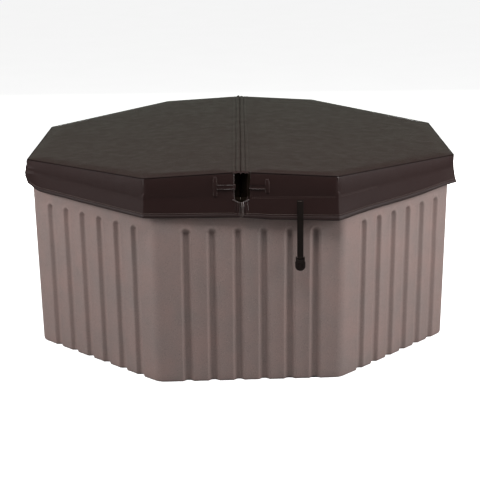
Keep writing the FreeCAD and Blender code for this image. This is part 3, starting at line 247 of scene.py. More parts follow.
def stitch_run(name, path, normals, material, pitch=7.5 * MM, length=5 * MM, thick=0.55 * MM):
    """A row of thread stitches along a path, each a small capsule that lies on the surface."""
    path = np.asarray(path, float)
    normals = np.asarray(normals, float)
    steps = np.linalg.norm(np.diff(path, axis=0), axis=1)
    run = np.concatenate([[0], np.cumsum(steps)])
    vertices, faces = [], []
    for n in range(int(run[-1] / pitch)):
        middle = (n + 0.5) * pitch
        ends = [middle - length / 2, middle + length / 2]
        a, b = (np.array([np.interp(e, run, path[:, k]) for k in range(3)]) for e in ends)
        up = np.array([np.interp(middle, run, normals[:, k]) for k in range(3)])
        along = (b - a) / np.linalg.norm(b - a)
        side = np.cross(along, up)
        base = len(vertices)
        for share, swell in ((0, 0.45), (0.25, 1), (0.75, 1), (1, 0.45)):
            centre = a + (b - a) * share
            for k in range(6):
                turn = math.pi / 3 * k
                vertices.append(centre + (side * math.cos(turn) + up * math.sin(turn)) * thick * swell)
        for ring in range(3):
            for k in range(6):
                m = (k + 1) % 6
                corner = base + ring * 6
                faces.append((corner + k, corner + m, corner + 6 + m, corner + 6 + k))
        faces.append(tuple(base + k for k in range(6)))
        faces.append(tuple(base + 18 + k for k in reversed(range(6))))
    return mesh_object(name, vertices, faces, material)


def sorted_box(one, two):
    """The low and high corners of the box between two points."""
    return tuple(min(a, b) for a, b in zip(one, two)), tuple(max(a, b) for a, b in zip(one, two))


def soft_box(name, low, high, material, bevel, segments=3):
    """A block with rounded edges, as one small part of a larger piece."""
    low, high = Vector(low), Vector(high)
    work = bmesh.new()
    bmesh.ops.create_cube(work, size=1)
    for v in work.verts:
        v.co = Vector((low[k] + (high[k] - low[k]) * (v.co[k] + 0.5) for k in range(3)))
    bmesh.ops.bevel(work, geom=work.edges[:], offset=bevel, segments=segments, profile=0.5, affect="EDGES")
    mesh = bpy.data.meshes.new(name)
    work.to_mesh(mesh)
    work.free()
    made = bpy.data.objects.new(name, mesh)
    bpy.context.scene.collection.objects.link(made)
    mesh.materials.append(material)
    mesh.polygons.foreach_set("use_smooth", [True] * len(mesh.polygons))
    return made


def wave(point, scale, seed):
    """Smooth noise between -1 and 1. The scale is how many metres one swell takes."""
    return noise.noise(Vector(point) / scale + Vector((seed * 7.3, seed * 3.1, seed * 5.7)))


def bell(distance, width):
    """1 at no distance, falling smoothly to nearly 0 at twice the width."""
    return math.exp(-((distance / width) ** 2))


# ---- materials -----------------------------------------------------------------------------------
SOCKETS = {
    "specular": "Specular IOR Level", "metallic": "Metallic", "transmission": "Transmission Weight",
    "sheen": "Sheen Weight", "sheen_roughness": "Sheen Roughness", "ior": "IOR",
}


class Surface:
    """A Principled material and a few short ways to wire nodes into it."""

    def __init__(self, name, color, roughness, **sockets):
        self.material = bpy.data.materials.new(name)
        self.material.use_nodes = True
        self.tree = self.material.node_tree
        self.shader = self.tree.nodes["Principled BSDF"]
        self.color, self.roughness = color, roughness
        self.shader.inputs["Base Color"].default_value = (*color, 1)
        self.shader.inputs["Roughness"].default_value = roughness
        for socket, value in sockets.items():
            self.shader.inputs[SOCKETS[socket]].default_value = value
        self.place = self.node("ShaderNodeTexCoord").outputs["Object"]

    def node(self, kind, **settings):
        made = self.tree.nodes.new(kind)
        for name, value in settings.items():
            setattr(made, name, value)
        return made

    def link(self, source, target):
        self.tree.links.new(source, target)

    def stretched(self, stretch):
        """The object's own coordinates, scaled along each axis."""
        mapping = self.node("ShaderNodeMapping")
        mapping.inputs["Scale"].default_value = stretch
        self.link(self.place, mapping.inputs["Vector"])
        return mapping.outputs["Vector"]

    def noise(self, scale, detail=2.0, stretch=(1, 1, 1), rough=0.5):
        place = self.stretched(stretch)
        made = self.node("ShaderNodeTexNoise")
        made.inputs["Scale"].default_value = scale
        made.inputs["Detail"].default_value = detail
        made.inputs["Roughness"].default_value = rough
        self.link(place, made.inputs["Vector"])
        return made.outputs["Fac"]

    def cells(self, scale):
        place = self.stretched((1, 1, 1))
        made = self.node("ShaderNodeTexVoronoi", feature="DISTANCE_TO_EDGE")
        made.inputs["Scale"].default_value = scale
        self.link(place, made.inputs["Vector"])
        return made.outputs["Distance"]

    def waves(self, scale, direction, distortion=0.0):
        made = self.node("ShaderNodeTexWave", bands_direction=direction)
        made.inputs["Scale"].default_value = scale
        made.inputs["Distortion"].default_value = distortion
        self.link(self.place, made.inputs["Vector"])
        return made.outputs["Fac"]

    def ramp(self, source, low, high, out_low=0.0, out_high=1.0):
        made = self.node("ShaderNodeMapRange")
        spans = {"From Min": low, "From Max": high, "To Min": out_low, "To Max": out_high}
        for socket, value in spans.items():
            made.inputs[socket].default_value = value
        self.link(source, made.inputs["Value"])
        return made.outputs["Result"]

    def math(self, operation, a, b):
        made = self.node("ShaderNodeMath", operation=operation)
        for socket, value in zip(made.inputs, (a, b)):
            if isinstance(value, (int, float)):
                socket.default_value = value
            else:
                self.link(value, socket)
        return made.outputs["Value"]

    def mix(self, factor, a, b):
        """A colour between a and b, each a plain colour or a socket."""
        made = self.node("ShaderNodeMix", data_type="RGBA")
        self.link(factor, made.inputs["Factor"])
        for socket, value in ((made.inputs[6], a), (made.inputs[7], b)):
            if isinstance(value, tuple):
                socket.default_value = (*value, 1)
            else:
                self.link(value, socket)
        return made.outputs[2]

    def paint(self, color):
        self.link(color, self.shader.inputs["Base Color"])

    def rough(self, value):
        self.link(value, self.shader.inputs["Roughness"])

    def bump(self, *layers):
        """Relief from (height, depth in metres) layers, coarse to fine."""
        normal = None
        for height, depth in layers:
            made = self.node("ShaderNodeBump")
            made.inputs["Strength"].default_value = 1.0
            made.inputs["Distance"].default_value = depth
            self.link(height, made.inputs["Height"])
            if normal is not None:
                self.link(normal, made.inputs["Normal"])
            normal = made.outputs["Normal"]
        self.link(normal, self.shader.inputs["Normal"])


def shade(color, share):
    return tuple(c * share for c in color)


def rotomoulded(name, color, roughness=0.62):
    """Speckled, slightly orange-peeled moulded plastic with a cloudy tone."""
    s = Surface(name, color, roughness, specular=0.35)
    cloud = s.ramp(s.noise(9, 4), 0.3, 0.7)
    warm = (color[0] * 1.10, color[1] * 0.99, color[2] * 0.97)
    tone = s.mix(cloud, shade(color, 0.93), warm)
    fleck_dark = s.ramp(s.noise(420, 1.5), 0.60, 0.70)
    fleck_light = s.ramp(s.noise(330, 1.5, (1.3, 1.3, 1.3)), 0.62, 0.74)
    tone = s.mix(fleck_dark, tone, shade(color, 0.62))
    tone = s.mix(fleck_light, tone, shade(color, 1.42))
    s.paint(tone)
    s.rough(s.ramp(s.noise(60, 3), 0.3, 0.7, roughness - 0.07, roughness + 0.08))
    s.bump((s.noise(30, 2), 0.5 * MM), (s.noise(520, 3), 0.28 * MM))
    return s.material


def grained_vinyl(name, color, roughness=0.46, specular=0.18):
    """Marine vinyl: a fine pebbled grain, faint handling marks and a slightly dusty tone."""
    s = Surface(name, color, roughness, specular=specular)
    dust = s.ramp(s.noise(5, 5, (1, 1, 1), 0.6), 0.35, 0.75)
    tone = s.mix(dust, shade(color, 0.93), (color[0] * 1.06, color[1] * 1.07, color[2] * 1.06))
    fibre = s.ramp(s.noise(900, 2), 0.35, 0.75)
    tone = s.mix(fibre, shade(color, 0.82), tone)
    s.paint(tone)
    s.rough(s.ramp(s.noise(22, 4), 0.3, 0.75, roughness - 0.03, roughness + 0.05))
    grain = s.ramp(s.cells(620), 0.0, 0.28)
    s.bump((s.noise(14, 3), 0.45 * MM), (grain, 0.16 * MM), (s.noise(1500, 2), 0.06 * MM))
    return s.material


def smooth_plastic(name, color, roughness=0.4, grain=0.05 * MM, specular=0.5):
    s = Surface(name, color, roughness, specular=specular)
    s.paint(s.mix(s.ramp(s.noise(40, 3), 0.3, 0.7), shade(color, 0.92), shade(color, 1.08)))
    s.rough(s.ramp(s.noise(90, 3), 0.3, 0.7, roughness - 0.05, roughness + 0.07))
    s.bump((s.noise(1100, 2), grain))
    return s.material


def woven_webbing(name, color):
    """Flat woven webbing: a diagonal twill across fine ribs."""
    s = Surface(name, color, 0.8, sheen=0.05, sheen_roughness=0.5, specular=0.12)
    rib = s.waves(150, "X")
    pick = s.waves(170, "Z")
    weave = s.math("MULTIPLY", rib, pick)
    s.paint(s.mix(weave, shade(color, 0.6), shade(color, 1.5)))
    s.bump((weave, 0.35 * MM), (s.noise(1400, 2), 0.1 * MM))
    return s.material


def woven_cloth(name, color, pitch=260, sheen=0.2):
    s = Surface(name, color, 0.85, sheen=sheen, sheen_roughness=0.5, specular=sheen)
    weave = s.math("MULTIPLY", s.waves(pitch, "X", 0.4), s.waves(pitch, "Y", 0.4))
    s.paint(s.mix(weave, shade(color, 0.75), shade(color, 1.2)))
    s.bump((weave, 0.25 * MM))
    return s.material


def beaded_foam(name, color):
    s = Surface(name, color, 0.8)
    bead = s.ramp(s.cells(260), 0.0, 0.25)
    s.paint(s.mix(bead, shade(color, 0.85), color))
    s.bump((bead, 0.5 * MM))
    return s.material


def brushed_metal(name, color, roughness=0.32, metallic=1.0):
    s = Surface(name, color, roughness, metallic=metallic)
    brush = s.noise(90, 3, (1, 14, 14))
    s.rough(s.ramp(brush, 0.3, 0.7, roughness - 0.08, roughness + 0.14))
    s.paint(s.mix(s.ramp(s.noise(25, 3), 0.3, 0.7), shade(color, 0.85), color))
    s.bump((brush, 0.05 * MM))
    return s.material


def frosted_lens(name):
    s = Surface(name, (0.78, 0.86, 0.92), 0.28, transmission=0.85)
    s.rough(s.ramp(s.noise(120, 2), 0.3, 0.7, 0.2, 0.38))
    s.bump((s.cells(160), 0.4 * MM))
    return s.material


def pleated_media(name, color):
    s = Surface(name, color, 0.9)
    s.paint(s.mix(s.ramp(s.noise(300, 3), 0.3, 0.7), shade(color, 0.85), color))
    s.bump((s.noise(900, 3), 0.2 * MM))
    return s.material


TAUPE = (0.285, 0.222, 0.206)
VINYL_BROWN = (0.0290, 0.0134, 0.0122)

CABINET = rotomoulded("cabinet_plastic", TAUPE)
BASIN = rotomoulded("basin_plastic", (0.47, 0.41, 0.37), 0.45)
VINYL = grained_vinyl("cover_vinyl", VINYL_BROWN)
# lighter, glossier vinyl: its light base colour is painted highlight on the rolled edges, piping, corner
# seams, pleats and lips
HIGHLIGHT_VINYL = grained_vinyl("highlight_vinyl", (0.066, 0.044, 0.040), 0.27, 0.8)
# darker vinyl: painted shade, for the dark line at the top's welt, along the hinge band's seams and under the
# right handle's top edge
SEAM_SHADE_VINYL = grained_vinyl("seam_shade_vinyl", shade(VINYL_BROWN, 0.35), 0.6, 0.1)
# a little darker vinyl for the rolled hem: painted shade where the hem curls under
HEM_SHADE_VINYL = grained_vinyl("hem_shade_vinyl", shade(VINYL_BROWN, 0.9), 0.5, 0.3)
# light thread: a thread colour, and partly painted highlight along the hem's stitch line, seams and the
# strap's tack bars
THREAD_AND_HIGHLIGHT = woven_cloth("stitch_thread_and_highlight", (0.17, 0.125, 0.11), 600)
LINER = woven_cloth("liner_cloth", (0.10, 0.09, 0.085))
WEBBING = woven_webbing("strap_webbing", (0.0100, 0.0056, 0.0040))
BUCKLE = smooth_plastic("buckle_plastic", (0.0125, 0.0072, 0.0060), 0.55, specular=0.18)
BLACK = smooth_plastic("black_plastic", (0.018, 0.018, 0.020), 0.42)
# a near-black sheet: painted shade inside the gap between the halves, for the backing and the gusset
GAP_SHADE = woven_cloth("fold_shadow", (0.0112, 0.0080, 0.0056), 600, 0.0)
GREY = smooth_plastic("grey_plastic", (0.20, 0.20, 0.21), 0.4)
WHITE_PIPE = smooth_plastic("white_pipe", (0.75, 0.75, 0.73), 0.35)
TRIM = smooth_plastic("jet_trim", (0.34, 0.31, 0.29), 0.22)
LENS = frosted_lens("lens")
MEDIA = pleated_media("filter_media", (0.80, 0.82, 0.84))
STEEL = brushed_metal("brushed_steel", (0.62, 0.62, 0.62))
PUMP_PAINT = brushed_metal("pump_paint", (0.03, 0.05, 0.10), 0.4, 0.0)
FOAM = beaded_foam("expanded_foam", (0.86, 0.87, 0.88))

SLOT_MATERIALS = {
    "cabinet_plastic": CABINET, "basin_plastic": BASIN, "pan_plastic": BLACK, "black_plastic": BLACK,
    "grey_plastic": GREY, "white_pipe": WHITE_PIPE, "gloss_trim": TRIM, "lens": LENS, "filter_media": MEDIA,
    "steel": STEEL, "pump_paint": PUMP_PAINT, "vinyl": VINYL, "liner_cloth": LINER, "foam": FOAM,
    "webbing": WEBBING, "buckle_plastic": BUCKLE,
}


def paint_cad_nodes():
    """Every carried-over CAD node takes its slot's procedural material."""
    for part in frame["record"]["subparts"]:
        node = frame["nodes"][part["node"]]
        node.data.materials.clear()
        node.data.materials.append(SLOT_MATERIALS[part["material_slot"]])


# ---- cabinet -------------------------------------------------------------------------------------
def cabinet_half(z):
    return CABINET_HALF_TOP - (CABINET_TOP - z) * CABINET_LEAN


def side_grooves(side):
    """The middles of a side's grooves, along it."""
    pitch, offset = SIDE_GROOVES.get(side, (GROOVE_PITCH, 0.0))
    return pitch * (np.arange(GROOVES_PER_SIDE) - (GROOVES_PER_SIDE - 1) / 2) + offset


def side_angle(side, z):
    """The direction a side faces, at a height: under the basin's lip every side is true."""
    turned_by = SIDE_TURNS.get(side % SIDES, 0.0) if z < RIM_LOW - 1 * MM else 0.0
    return side * SIDE_TURN + math.radians(turned_by)


def groove_depth(side, t, z):
    """How deep the wall is pushed in at distances t along a side and a height z."""
    nearest = np.min(np.abs(t[:, None] - side_grooves(side)[None, :]), axis=1)
    past_end = max(0.0, z - (GROOVE_TOP - GROOVE_LIP))
    away = np.hypot(nearest, past_end)
    widen = GROOVE_WIDEN * (1 - z / GROOVE_TOP)
    share = np.clip((away - GROOVE_FLOOR - widen) / (GROOVE_LIP - GROOVE_FLOOR), 0, 1)
    swell = LIP_SWELL * np.exp(-(((away - widen) / GROOVE_LIP - SWELL_PLACE) / SWELL_WIDTH) ** 2)
    return GROOVE_DEPTH * 0.5 * (1 + np.cos(np.pi * share)) - swell


def cabinet_columns(side):
    """Positions along a side: dense across each groove, with the door's edges exactly on a column."""
    steps = [0.2, 0.36, 0.48, 0.6, 0.72, 0.85, 1, 1.15, 1.35]
    across = np.array([-step for step in reversed(steps)] + [0] + steps) * GROOVE_LIP
    middles = side_grooves(side)
    found = [m + a for m in middles for a in across]
    found += [0.0]
    for edge in (DOOR_HALF, DOOR_HALF + DOOR_GAP):
        found += [-edge, edge]
    return np.array(sorted(found))


def cabinet_rows():
    angles = np.linspace(0, math.pi / 2, 6)
    foot = FOOT_ROUND * (1 - np.cos(angles))
    wall = np.arange(FOOT_ROUND + 30 * MM, 600 * MM, 45 * MM)
    ends = np.linspace(GROOVE_TOP - 2.2 * GROOVE_LIP, GROOVE_TOP + 3 * MM, 13)
    upper = [GROOVE_TOP + 20 * MM, 690 * MM, RIM_LOW - 5 * MM, RIM_LOW, RIM_LOW + 12 * MM, CABINET_TOP]
    door = [DOOR_LOW - DOOR_GAP, DOOR_LOW, DOOR_HIGH, DOOR_HIGH + DOOR_GAP]
    return np.array(sorted([*foot, *wall, *ends, *upper, *door]))


def cabinet_grids():
    """The wall's outer and inner surfaces, and each column's side and distance along it."""
    rows = cabinet_rows()
    corner_steps = 10
    outer, inner = [], []
    sides, along = [], []
    for r, z in enumerate(rows):
        half = cabinet_half(z)
        radius = CORNER_RADIUS_BOTTOM + (CORNER_RADIUS_TOP - CORNER_RADIUS_BOTTOM) * z / CABINET_TOP
        rise = min(1.0, z / FOOT_ROUND)
        tuck = FOOT_ROUND * (1 - math.sqrt(max(0.0, 1 - (1 - rise) ** 2)))
        out_row, in_row = [], []
        for side in range(SIDES):
            a = side_angle(side, z)
            before = (a - side_angle(side - 1, z)) % (2 * math.pi)
            after = side_angle(side + 1, z) - a
            normal, tangent = np.array([math.cos(a), math.sin(a)]), np.array([-math.sin(a), math.cos(a)])
            flat_start, flat_end = ((half - radius) * math.tan(turn / 2) for turn in (before, after))
            t = np.concatenate([[-flat_start], cabinet_columns(side), [flat_end]])
            depth = groove_depth(side, t, z) + tuck
            for k, (tk, dk) in enumerate(zip(t, depth)):
                spot = normal * half + tangent * tk
                ripple = 0.5 * MM * wave((*spot, z), 0.16, 2)
                out_row.append((*(spot - normal * (dk - ripple)), z))
                in_row.append((*(spot - normal * (dk + CABINET_WALL)), z))
                if r == 0:
                    sides.append(side)
                    along.append(tk)
            reach = (half - radius) / math.cos(after / 2)
            centre = np.array([math.cos(a + after / 2), math.sin(a + after / 2)]) * reach
            for k in range(1, corner_steps):
                turn = a + after * k / corner_steps
                ray = np.array([math.cos(turn), math.sin(turn)])
                out_row.append((*(centre + ray * (radius - tuck)), z))
                in_row.append((*(centre + ray * (radius - tuck - CABINET_WALL)), z))
                if r == 0:
                    sides.append(-1)
                    along.append(0.0)
        outer.append(out_row)
        inner.append(in_row)
    return np.array(outer), np.array(inner), np.array(sides), np.array(along), rows


def inside(values, low, high):
    """For each gap between neighbouring values, whether it lies from low to high."""
    small = 1e-6
    return (values[:-1] > low - small) & (values[1:] < high + small)


def cabinet_and_door():
    """The grooved wall with a gap for the door, and the leaf cut from the same surface."""
    outer, inner, sides, along, rows = cabinet_grids()
    next_side, next_along = np.roll(sides, -1), np.roll(along, -1)
    on_back = (sides == BACK_SIDE) & (next_side == BACK_SIDE)
    small = 1e-6

    def spans(half_width):
        return on_back & (along > -half_width - small) & (next_along < half_width + small)

    gap_rows = inside(rows, DOOR_LOW - DOOR_GAP, DOOR_HIGH + DOOR_GAP)
    gap = gap_rows[:, None] & spans(DOOR_HALF + DOOR_GAP)[None, :]
    leaf = inside(rows, DOOR_LOW, DOOR_HIGH)[:, None] & spans(DOOR_HALF)[None, :]
    wall = thin_shell("cabinet_wall", outer, inner, ~gap, CABINET)
    door = thin_shell("door_leaf", outer, inner, leaf, CABINET)
    return wall, door


def rectangle_ring(name, profile, half_width, low, high, material):
    """A frame round the door opening: profile points are (distance out from the opening's edge, y)."""
    corners = [(-1, 0), (1, 0), (1, 1), (-1, 1)]
    rings = []
    for sx, top in corners:
        ring = []
        for out, y in profile:
            z = high + out if top else low - out
            ring.append((sx * (half_width + out), y, z))
        rings.append(ring)
    return swept(name, rings, material, closed_path=True, smooth=False)


def build_cabinet():
    wall, door = cabinet_and_door()
    back = cabinet_half(DOOR_LOW)
    ledge, depth, thick = 26 * MM, 40 * MM, 7 * MM
    low, high, half = DOOR_LOW - DOOR_GAP, DOOR_HIGH + DOOR_GAP, DOOR_HALF + DOOR_GAP
    profile = [(-ledge, back - depth), (9 * MM, back - depth), (9 * MM, back - 9 * MM), (0, back - 9 * MM),
               (0, back - depth + thick), (-ledge, back - depth + thick)]
    door_frame = rectangle_ring("door_frame", profile, half, low, high, CABINET)
    wall = joined("cabinet_wall", [wall, door_frame])
    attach(wall, "tub")
    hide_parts("cabinet_shell")

    peg_x, peg_z, peg_start, peg_end = 160 * MM, 100 * MM, 20 * MM, 44 * MM
    pegs = []
    for sx in (-1, 1):
        start = Vector((sx * peg_x, back - peg_start, peg_z))
        end = Vector((sx * peg_x, back - peg_end, peg_z))
        pegs.append(swept("peg", cord_rings([start, end - (end - start) * 0.1, end], 5 * MM, 12), BLACK))
    door = joined("door_leaf", [door, *pegs])
    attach(door, "door")
    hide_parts("access_door")


# ---- cover halves --------------------------------------------------------------------------------
def cover_top(x):
    return COVER_TOP - COVER_FALL * abs(x)


def spaced(length, step, fine=(1.5 * MM, 4 * MM, 9 * MM)):
    """Distances along an edge: fine near both ends and even between them, without the end itself."""
    inner = np.linspace(fine[-1], length - fine[-1], max(2, int(length / step)))
    return np.array([0, *fine[:-1], *inner, *[length - f for f in reversed(fine[:-1])]])


def half_octagon(half, side, fold):
    """The six corners of the right half, from the front of the fold round to its back."""
    return np.array([(fold, -half), (side, -half), (half, -side), (half, side), (side, half), (fold, half)])


def cover_outline(inset):
    """The right half's outline, inset, with outward directions that turn smoothly at each corner.

    Returns the points, the directions and the index of each of the six corners, in half_octagon's order.
    """
    half = COVER_HALF - inset
    side = COVER_SIDE - inset * TAN_HALF
    fold = FOLD + inset
    corners = half_octagon(half, side, fold)
    count = len(corners)
    edges = np.roll(corners, -1, axis=0) - corners
    lengths = np.linalg.norm(edges, axis=1)
    along = edges / lengths[:, None]
    normals = np.stack([along[:, 1], -along[:, 0]], axis=1)
    points, rays, marks = [], [], []
    for k in range(count):
        before, after = normals[k - 1], normals[(k + 1) % count]
        marks.append(len(points))
        for d in spaced(lengths[k], OUTLINE_STEP):
            ray = normals[k].copy()
            for other, away in ((before, d), (after, lengths[k] - d)):
                if away < CORNER_SOFT:
                    middle = normals[k] + other
                    middle /= np.linalg.norm(middle)
                    share = away / CORNER_SOFT
                    ray = normals[k] * share + middle * (1 - share)
                    ray /= np.linalg.norm(ray)
            points.append(corners[k] + along[k] * d)
            rays.append(ray)
    return np.array(points), np.array(rays), marks


def patch_over(points, marks):
    """A grid over the outline: across from the fold to the outer sides, along from front to back.

    Returns the grid's plan points, and the outline points along its front and its back.
    """
    a, b, _, _, e, f = marks
    front = list(range(a, b + 1))
    outer = list(range(b, e + 1))
    back = list(range(f, e - 1, -1))
    ys = points[outer][:, 1]
    low_y, high_y = points[a][1], points[f][1]
    fold_y = low_y + (ys - ys[0]) / (ys[-1] - ys[0]) * (high_y - low_y)
    fold_points = np.stack([np.full(len(ys), points[a][0]), fold_y], 1)
    u = np.linspace(0, 1, len(front))
    front_x = (points[front][:, 0] - points[a][0]) / (points[b][0] - points[a][0])
    grid = np.zeros((len(outer), len(front), 2))
    for j in range(len(outer)):
        v = j / (len(outer) - 1)
        grid[j, :, 0] = fold_points[j, 0] + (points[outer[j]][0] - fold_points[j, 0]) * front_x
        grid[j, :, 1] = fold_points[j, 1] + (points[outer[j]][1] - fold_points[j, 1]) * u
        grid[j, 0], grid[j, -1] = fold_points[j], points[outer[j]]
    return grid, front, back


def jacket_ring(points, rays, marks, fold):
    """The outline as one closed ring. The fold's side is resampled to match the points across from it."""
    first, last = marks[0], marks[-1]
    inward = np.array([-1.0, 0.0])
    ring_points = np.concatenate([points[first:last + 1], fold])
    ring_rays = np.concatenate([rays[first:last + 1], np.tile(inward, (len(fold), 1))])
    for k, p in enumerate(fold):
        for sign in (-1, 1):
            away = abs(p[1] - sign * (COVER_HALF - EDGE_ROUND))
            if away < CORNER_SOFT:
                share = away / CORNER_SOFT
                mixed = inward * share + np.array([-DIAGONAL, sign * DIAGONAL]) * (1 - share)
                ring_rays[last - first + 1 + k] = mixed / np.linalg.norm(mixed)
    return ring_points, ring_rays


def jacket_border(grid, marks, front, back):
    """For each point on the grid's border, by row and column, its place in the ring."""
    first, b, _, _, e, last = marks
    rows, across = grid.shape[:2]
    border = {(0, n): i - first for n, i in enumerate(front)}
    border.update({(n, across - 1): i - first for n, i in enumerate(range(b, e + 1))})
    border.update({(rows - 1, n): i - first for n, i in enumerate(back)})
    border.update({(n, 0): last - first + rows - 1 - n for n in range(1, rows - 1)})
    return border


def jacket_levels():
    """The skin's loops, from the top's edge down and under: (kind, distance out, drop or rise, share)."""
    arc = np.radians([0, 18, 36, 54, 72, 90])
    loops = [("top", EDGE_ROUND * math.sin(turn), EDGE_ROUND * (1 - math.cos(turn)), 0.0) for turn in arc]
    loops += [("wall", EDGE_ROUND, 0.0, share) for share in np.linspace(0, 1, 15)[1:-1]]
    for turn in arc[::-2]:
        out = EDGE_ROUND - LOW_ROUND * (1 - math.sin(turn))
        loops.append(("low", out, LOW_ROUND * (1 - math.cos(turn)), 1.0))
    return loops + [("low", 0.0, 0.0, 1.0)]


def level_height(kind, drop, share, x):
    if kind == "top":
        return cover_top(x) - drop
    if kind == "low":
        return COVER_LOW + drop
    return (cover_top(x) - EDGE_ROUND) * (1 - share) + (COVER_LOW + LOW_ROUND) * share


def half_cover_mesh(seed):
    """The right half's padded jacket as one closed skin: the top, rounded edges, sides and underside."""
    points, rays, marks = cover_outline(EDGE_ROUND)
    grid, front, back = patch_over(points, marks)
    ring_points, ring_rays = jacket_ring(points, rays, marks, grid[1:-1, 0][::-1])
    border = jacket_border(grid, marks, front, back)
    loops = jacket_levels()
    rows, across = grid.shape[:2]
    ring, last = len(ring_points), len(loops) - 1

    vertices, index = [], {}
    for level, (kind, out, drop, share) in enumerate(loops):
        for k in range(ring):
            x, y = ring_points[k] + ring_rays[k] * out
            z = level_height(kind, drop, share, ring_points[k][0])
            index[("ring", level, k)] = len(vertices)
            vertices.append((x, y, z, kind, share, k))
    for cap, level in (("top", 0), ("low", last)):
        for j in range(rows):
            for n in range(across):
                if (j, n) in border:
                    index[(cap, j, n)] = index[("ring", level, border[(j, n)])]
                    continue
                x, y = grid[j, n]
                z = cover_top(x) if cap == "top" else COVER_LOW
                index[(cap, j, n)] = len(vertices)
                vertices.append((x, y, z, cap + "_panel", 0.0, -1))

    faces = []

    def add_quads(kind, rows, columns, wraps):
        for j in range(rows):
            for n in range(columns):
                m = (n + 1) % columns if wraps else n + 1
                corners = ((j, n), (j, m), (j + 1, m), (j + 1, n))
                faces.append(tuple(index[(kind, *corner)] for corner in corners))

    add_quads("ring", last, ring, True)
    for cap in ("top", "low"):
        add_quads(cap, rows - 1, across - 1, False)
    return [settle(v, ring_rays, seed) for v in vertices], faces


LUMP_MIDDLE = 775 * MM


def from_front_corner(x, y):
    """How far a point is from the corner where the front side ends."""
    return math.hypot(x - COVER_SIDE, y + COVER_HALF)


def from_far_corner(x, y):
    """How far a point is from the next corner round, where the slanting front side ends."""
    return math.hypot(x - COVER_HALF, y + COVER_SIDE)


def corner_lump(x, y, z, side):
    """How far the tub's corner pushes the vinyl out on the left, and how far the right one draws in."""
    near = bell(from_far_corner(x, y), 55 * MM)
    if near < 1e-4:
        return 0.0
    if side > 0:
        return near * MM * (-2.5 * bell(z - 800 * MM, 22 * MM))
    lumps = 1.8 * math.cos((z - LUMP_MIDDLE) / (24 * MM) * 2 * math.pi) * bell(z - LUMP_MIDDLE, 50 * MM)
    return near * MM * (9.5 * bell(z - LUMP_MIDDLE + 5 * MM, 38 * MM) + lumps)


def corner_distance(x, y):
    """How far a point on the outline is from the nearest of the octagon's corners."""
    tips = [(COVER_SIDE, COVER_HALF), (COVER_HALF, COVER_SIDE)]
    return min(math.hypot(abs(x) - u, abs(y) - v) for u, v in tips)


def rim_distance(x, y):
    """How far inside the cover's outer sides a plan point lies."""
    slanting = (COVER_HALF * math.sqrt(2) - (abs(x) + abs(y))) * DIAGONAL
    return min(COVER_HALF - abs(x), COVER_HALF - abs(y), slanting)


def settle(vertex, rays, seed):
    """The vinyl's own shape over the flat foam: slack swells, puckers near seams and drawn-in seams."""
    x, y, z, kind, share, k = vertex
    if kind in ("top_panel", "top"):
        edge = max(rim_distance(x, y), 0.0)
        room = min(1.0, edge / 0.10)
        swell = 1.5 * MM * wave((x, y * 0.7, 0), 0.30, seed)
        swell += 0.7 * MM * wave((x * 1.4, y, 1), 0.10, seed + 1)
        return x, y, z + swell * room - 0.9 * MM * bell(edge - 26 * MM, 5 * MM)
    if kind == "wall":
        ray = rays[k]
        away = corner_distance(x, y)
        middle = math.sin(math.pi * share)
        swell = 2.6 * MM * math.sin(math.pi * share ** 0.8 * 0.8)
        gather = (0.9 + 1.6 * math.exp(-away / 0.05)) * MM
        pucker = gather * wave((x * 1.2, y * 1.2, z * 0.35), 0.045, seed + 2)
        slack = 1.6 * MM * wave((x, y, z * 0.5), 0.16, seed + 3)
        pinch = -2.2 * MM * bell(away, 6 * MM)
        push = (swell + slack * middle + pucker * middle) + pinch
        push += corner_lump(x, y, z, 1 if seed == RIGHT_SEED else -1)
        if abs(x) < FOLD + 2 * EDGE_ROUND and abs(y) < COVER_HALF - 3 * EDGE_ROUND:
            push = min(push, 1.0 * MM)
        return x + ray[0] * push, y + ray[1] * push, z
    return x, y, z


def puff(made, frames=20, limit=5 * MM):
    """Lets the vinyl swell as cloth under a light pressure, and keeps each point near where it was."""
    rest = np.array([v.co[:] for v in made.data.vertices])
    cloth = made.modifiers.new("cloth", "CLOTH")
    settings = cloth.settings
    settings.quality = 5
    settings.mass = 0.35
    settings.tension_stiffness = 22
    settings.compression_stiffness = 12
    settings.shear_stiffness = 10
    settings.bending_stiffness = 0.8
    settings.use_pressure = True
    settings.uniform_pressure_force = 2.2
    settings.effector_weights.gravity = 0
    settings.vertex_group_mass = "seams"
    cloth.point_cache.frame_start = 1
    cloth.point_cache.frame_end = frames
    scene = bpy.context.scene
    for step in range(1, frames + 1):
        scene.frame_set(step)
    apply_modifiers(made)
    scene.frame_set(1)
    after = np.array([v.co[:] for v in made.data.vertices])
    shift = after - rest
    size = np.linalg.norm(shift, axis=1, keepdims=True)
    shift *= np.minimum(1.0, limit / np.maximum(size, 1e-9))
    made.data.vertices.foreach_set("co", (rest + shift).reshape(-1))
    made.data.update()


def edge_path(out, z_of, last=5):
    """Points along the outer outline, at a distance out, from the fold's front to one of its corners."""
    points, rays, marks = cover_outline(EDGE_ROUND)
    chosen = range(marks[0], marks[last] + 1)
    spots = [points[k] + rays[k] * out for k in chosen]
    return [(x, y, z_of(x)) for x, y in spots], [(rays[k][0], rays[k][1], 0.0) for k in chosen]


def pin_seams(jacket):
    """Marks the points that the cloth simulation holds still: the underside, the fold and the top's edge."""
    still = []
    for v in jacket.data.vertices:
        low = v.co.z < COVER_LOW + EDGE_ROUND * 1.1
        fold = v.co.x < FOLD + EDGE_ROUND * 0.6
        high = v.co.z > cover_top(v.co.x) - EDGE_ROUND
        if low or fold or (high and rim_distance(v.co.x, v.co.y) < EDGE_ROUND * 1.1):
            still.append(v.index)
    jacket.vertex_groups.new(name="seams").add(still, 1.0, "REPLACE")


